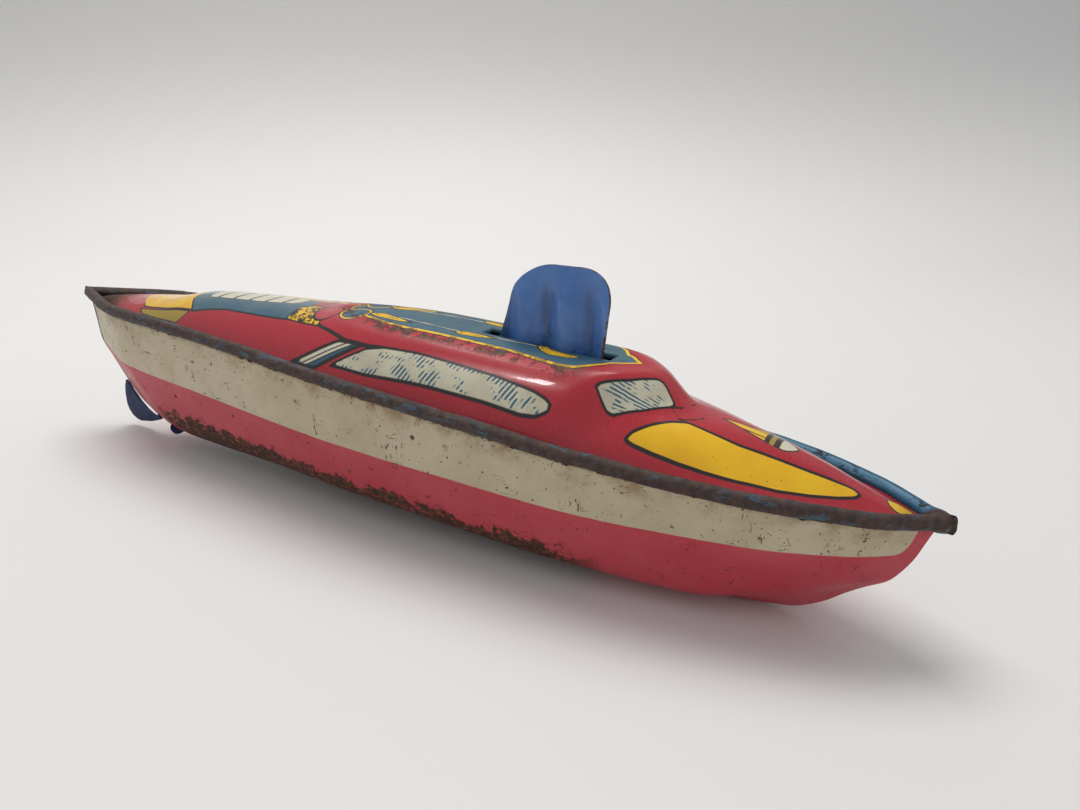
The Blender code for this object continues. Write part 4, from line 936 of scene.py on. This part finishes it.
def glass_print(sheet, seed, across, pitch):
    """Printed glass: cream dots crossed by groups of fine slanting strokes."""
    paint = sheet.paint
    phase = paint.math("ADD", paint.math("MULTIPLY", x_of(paint), across[0]),
                       paint.math("MULTIPLY", sheet.gap["off_centre"], across[1]))
    wobble = paint.math("MULTIPLY", paint.noise(3, seed=seed), 0.3)
    comb = paint.math("SINE", paint.math("MULTIPLY", paint.math("ADD", phase, wobble), pitch))
    patches = paint.noise(3.6, detail=5, rough=0.6, stretch=(0.7, 1.3, 1), seed=seed + 0.5)
    stroke = paint.times(paint.step(comb, -0.1, 0.4), paint.step(patches, 0.49, 0.55))
    cream = mottled(paint, PALE, (0.55, 0.50, 0.36), 9, seed + 0.7)
    cream = halftone(paint, cream, 0.35, 0.5, (0.42, 0.42, 0.34))
    return paint.mix(stroke, cream, (0.020, 0.115, 0.19))


def grille_print(paint):
    """Cream blocks between thin dark gaps."""
    wave = paint.math("SINE", paint.math("MULTIPLY", x_of(paint), 1.05))
    return paint.mix(paint.step(wave, -0.93, -0.80), INK, PALE)


def bead_paint():
    """Blue print worn to dark rough metal; on the port bow it is still smooth and blue."""
    paint = Paint("worn_rim")
    drawn = (0.3, 1, 1)
    colour = mottled(paint, RIM_DARK, RIM_BROWN, 1.6, 41)
    blue = paint.step(paint.noise(1.9, detail=8, rough=0.75, stretch=drawn, seed=42), 0.53, 0.59)
    colour = paint.mix(blue, colour, mottled(paint, RIM_BLUE, (0.085, 0.125, 0.16), 2.2, 43))
    bright = paint.step(paint.noise(0.9, detail=4, stretch=drawn, seed=44), 0.64, 0.72)
    colour = paint.mix(paint.math("MULTIPLY", bright, 0.35), colour, BARE_TIN)
    smooth = paint.times(paint.step(x_of(paint, "Y"), 0.5, 1.5), paint.step(x_of(paint), 20, 60),
                         paint.inside(paint.noise(4, detail=6, rough=0.7, seed=45), 0.60, 0.03))
    colour = paint.mix(smooth, colour, mottled(paint, PORT_BLUE, (0.03, 0.11, 0.18), 12, 46))
    rough = paint.blend(smooth, 0.6, 0.35)
    grit = paint.noise(0.9, detail=6, rough=0.7, seed=47)
    grit = paint.math("MULTIPLY", grit, paint.blend(smooth, 1.0, 0.15))
    return paint.surface(colour, rough, grit, 0.42, metallic=0.15)


def lever_paint():
    """Blue enamel with painted shade in the flutes, chips and rust near the slot."""
    paint = Paint("lever_enamel")
    colour = mottled(paint, LEVER_BLUE, (0.090, 0.215, 0.520), 9, 51)
    # Painted shade: the hollows of the flutes are darkened in patches, where shade falls in them.
    patchy = paint.step(paint.noise(5, seed=50), 0.25, 0.60)
    flute_shade = paint.times(paint.step(paint.attribute("hollow"), 0.35, 1.0), patchy)
    colour = paint.mix(paint.math("MULTIPLY", flute_shade, 0.62), colour, (0.022, 0.045, 0.120))
    edge = worn_edge(paint, paint.attribute("edge_gap"), 0.5, 1.5, 52, -0.07)
    chips = paint.step(paint.noise(2.2, detail=7, rough=0.70, seed=53), 0.640, 0.665)
    foot = paint.times(paint.inside(x_of(paint, "Z"), 54, 3),
                       paint.step(paint.noise(1.6, detail=6, rough=0.7, seed=55), 0.58, 0.62))
    rust = paint.any_of(edge, chips, foot, specks(paint, 1.2, 0.16, 56, 0.46))
    colour = paint.mix(rust, colour, rust_colour(paint))
    rough = paint.blend(rust, 0.26, 0.75)
    return paint.surface(colour, rough, paint.noise(6, seed=54), 0.08, coat=0.4)


def plain_paint(name, colour, dark, rough, metallic, seed):
    """Metal or enamel with soft stains and a fine grain, for the pieces of the mechanism."""
    paint = Paint(name, metallic)
    stains = paint.step(paint.noise(5, detail=6, seed=seed), 0.42, 0.72)
    made = paint.mix(stains, colour, dark)
    grain = paint.noise(0.5, detail=3, stretch=(0.2, 1, 1), seed=seed + 1)
    return paint.surface(made, paint.blend(stains, rough, min(0.9, rough + 0.3)), grain, 0.02)


def dress_mechanism():
    """New materials on the slots of the CAD nodes that stay visible."""
    looks = {
        "tinplate": plain_paint("dull_tinplate", (0.50, 0.48, 0.43), (0.20, 0.12, 0.07), 0.35, 0.9, 61),
        "steel": plain_paint("aged_steel", (0.42, 0.41, 0.40), (0.16, 0.10, 0.07), 0.32, 1.0, 63),
        "brass": plain_paint("aged_brass", (0.58, 0.40, 0.15), (0.22, 0.14, 0.06), 0.33, 1.0, 65),
        "lead": plain_paint("cast_lead", (0.20, 0.20, 0.21), (0.10, 0.10, 0.10), 0.6, 0.8, 67),
        "navy": plain_paint("navy_enamel", NAVY, (0.02, 0.02, 0.025), 0.38, 0.1, 69),
        "litho_hull": hull_inside(),
    }
    slots = {row["node"]: row["material_slot"] for row in frame["record"]["subparts"]}
    for name, obj in frame["nodes"].items():
        look = looks.get(slots[name])
        if look is None or obj.hide_render:
            continue
        for slot in obj.material_slots:
            slot.material = look


def hull_inside():
    return plain_paint("worn_red_enamel", (0.30, 0.03, 0.04), RUST, 0.5, 0.0, 71)


# Stage

def make_stage():
    """A pale floor that curves up into a wall, with painted shade that darkens the card as it rises."""
    profile = [(SWEEP_FRONT, 0.0), (SWEEP_FLAT, 0.0)]
    for k in range(1, 13):
        angle = k * pi / 24
        y = SWEEP_FLAT + SWEEP_RADIUS * sin(angle)
        profile.append((y, SWEEP_RADIUS * (1 - cos(angle))))
    profile.append((SWEEP_FLAT + SWEEP_RADIUS, SWEEP_TOP))
    rows = []
    for across in (-SWEEP_HALF_WIDTH, SWEEP_HALF_WIDTH):
        rows.append([Vector((across, y, z)) / MM for y, z in profile])
    sweep = grid_mesh("studio_sweep", rows)
    sweep.rotation_euler = (0, 0, radians(SWEEP_TURN))
    paint = Paint("pale_card")
    colour = paint.mix(paint.noise(400, seed=81), FLOOR, FLOOR_STAIN)
    # Painted shade: the card fades to the darker wall colour as it rises
    colour = paint.mix(paint.step(x_of(paint, "Z"), *WALL_SHADE_MM), colour, WALL)
    sweep.data.materials.append(paint.surface(colour, 0.55, paint.noise(1.5, seed=82), 0.01))


def area_light(name, place, target, size, power, colour=(1, 1, 1)):
    data = bpy.data.lights.new(name, "AREA")
    data.shape = "RECTANGLE"
    data.size, data.size_y = size
    data.energy = power
    data.color = colour
    obj = bpy.data.objects.new(name, data)
    bpy.context.scene.collection.objects.link(obj)
    obj.location = place
    aim = Vector(target) - Vector(place)
    obj.rotation_euler = aim.to_track_quat("-Z", "Y").to_euler()
    return obj


def make_lights():
    """A soft key light from above, a small one seen only in reflections, and an even room."""
    area_light("key", KEY_PLACE, KEY_TARGET, KEY_SIZE, KEY_POWER, KEY_COLOUR)
    glint = area_light("glint", GLINT_PLACE, GLINT_TARGET, GLINT_SIZE, GLINT_POWER)
    glint.visible_diffuse = False
    world = bpy.data.worlds.new("soft_room")
    bpy.context.scene.world = world
    world.use_nodes = True
    background = world.node_tree.nodes["Background"]
    background.inputs["Color"].default_value = ROOM_COLOUR
    background.inputs["Strength"].default_value = ROOM_STRENGTH


def make_camera():
    """Seen from ahead of the starboard beam, a little above."""
    azimuth = radians(CAMERA_AZIMUTH)
    elevation = radians(CAMERA_ELEVATION)
    roll = radians(CAMERA_ROLL)
    back = Vector((sin(azimuth) * cos(elevation), -cos(azimuth) * cos(elevation), sin(elevation)))
    across = Vector((0, 0, 1)).cross(back).normalized()
    up = back.cross(across)
    right = cos(roll) * across + sin(roll) * up
    top = cos(roll) * up - sin(roll) * across
    data = bpy.data.cameras.new("camera")
    data.lens = CAMERA_LENS
    data.sensor_width = CAMERA_SENSOR
    data.clip_start = 0.01
    camera = bpy.data.objects.new("camera", data)
    bpy.context.scene.collection.objects.link(camera)
    turned = Matrix((right, top, back)).transposed().to_4x4()
    camera.matrix_world = Matrix.Translation(CAMERA_PLACE) @ turned
    bpy.context.scene.camera = camera


def main():
    make_hull(hull_paint())
    bead = join("rolled_rim", make_gunwale())
    finish_piece(bead, "root", "gunwale_bead", bead_paint())
    make_deck(deck_paint())
    make_tab(lever_paint())
    dress_mechanism()
    make_stage()
    make_lights()
    make_camera()
    bpy.context.scene.view_settings.view_transform = "Standard"


main()
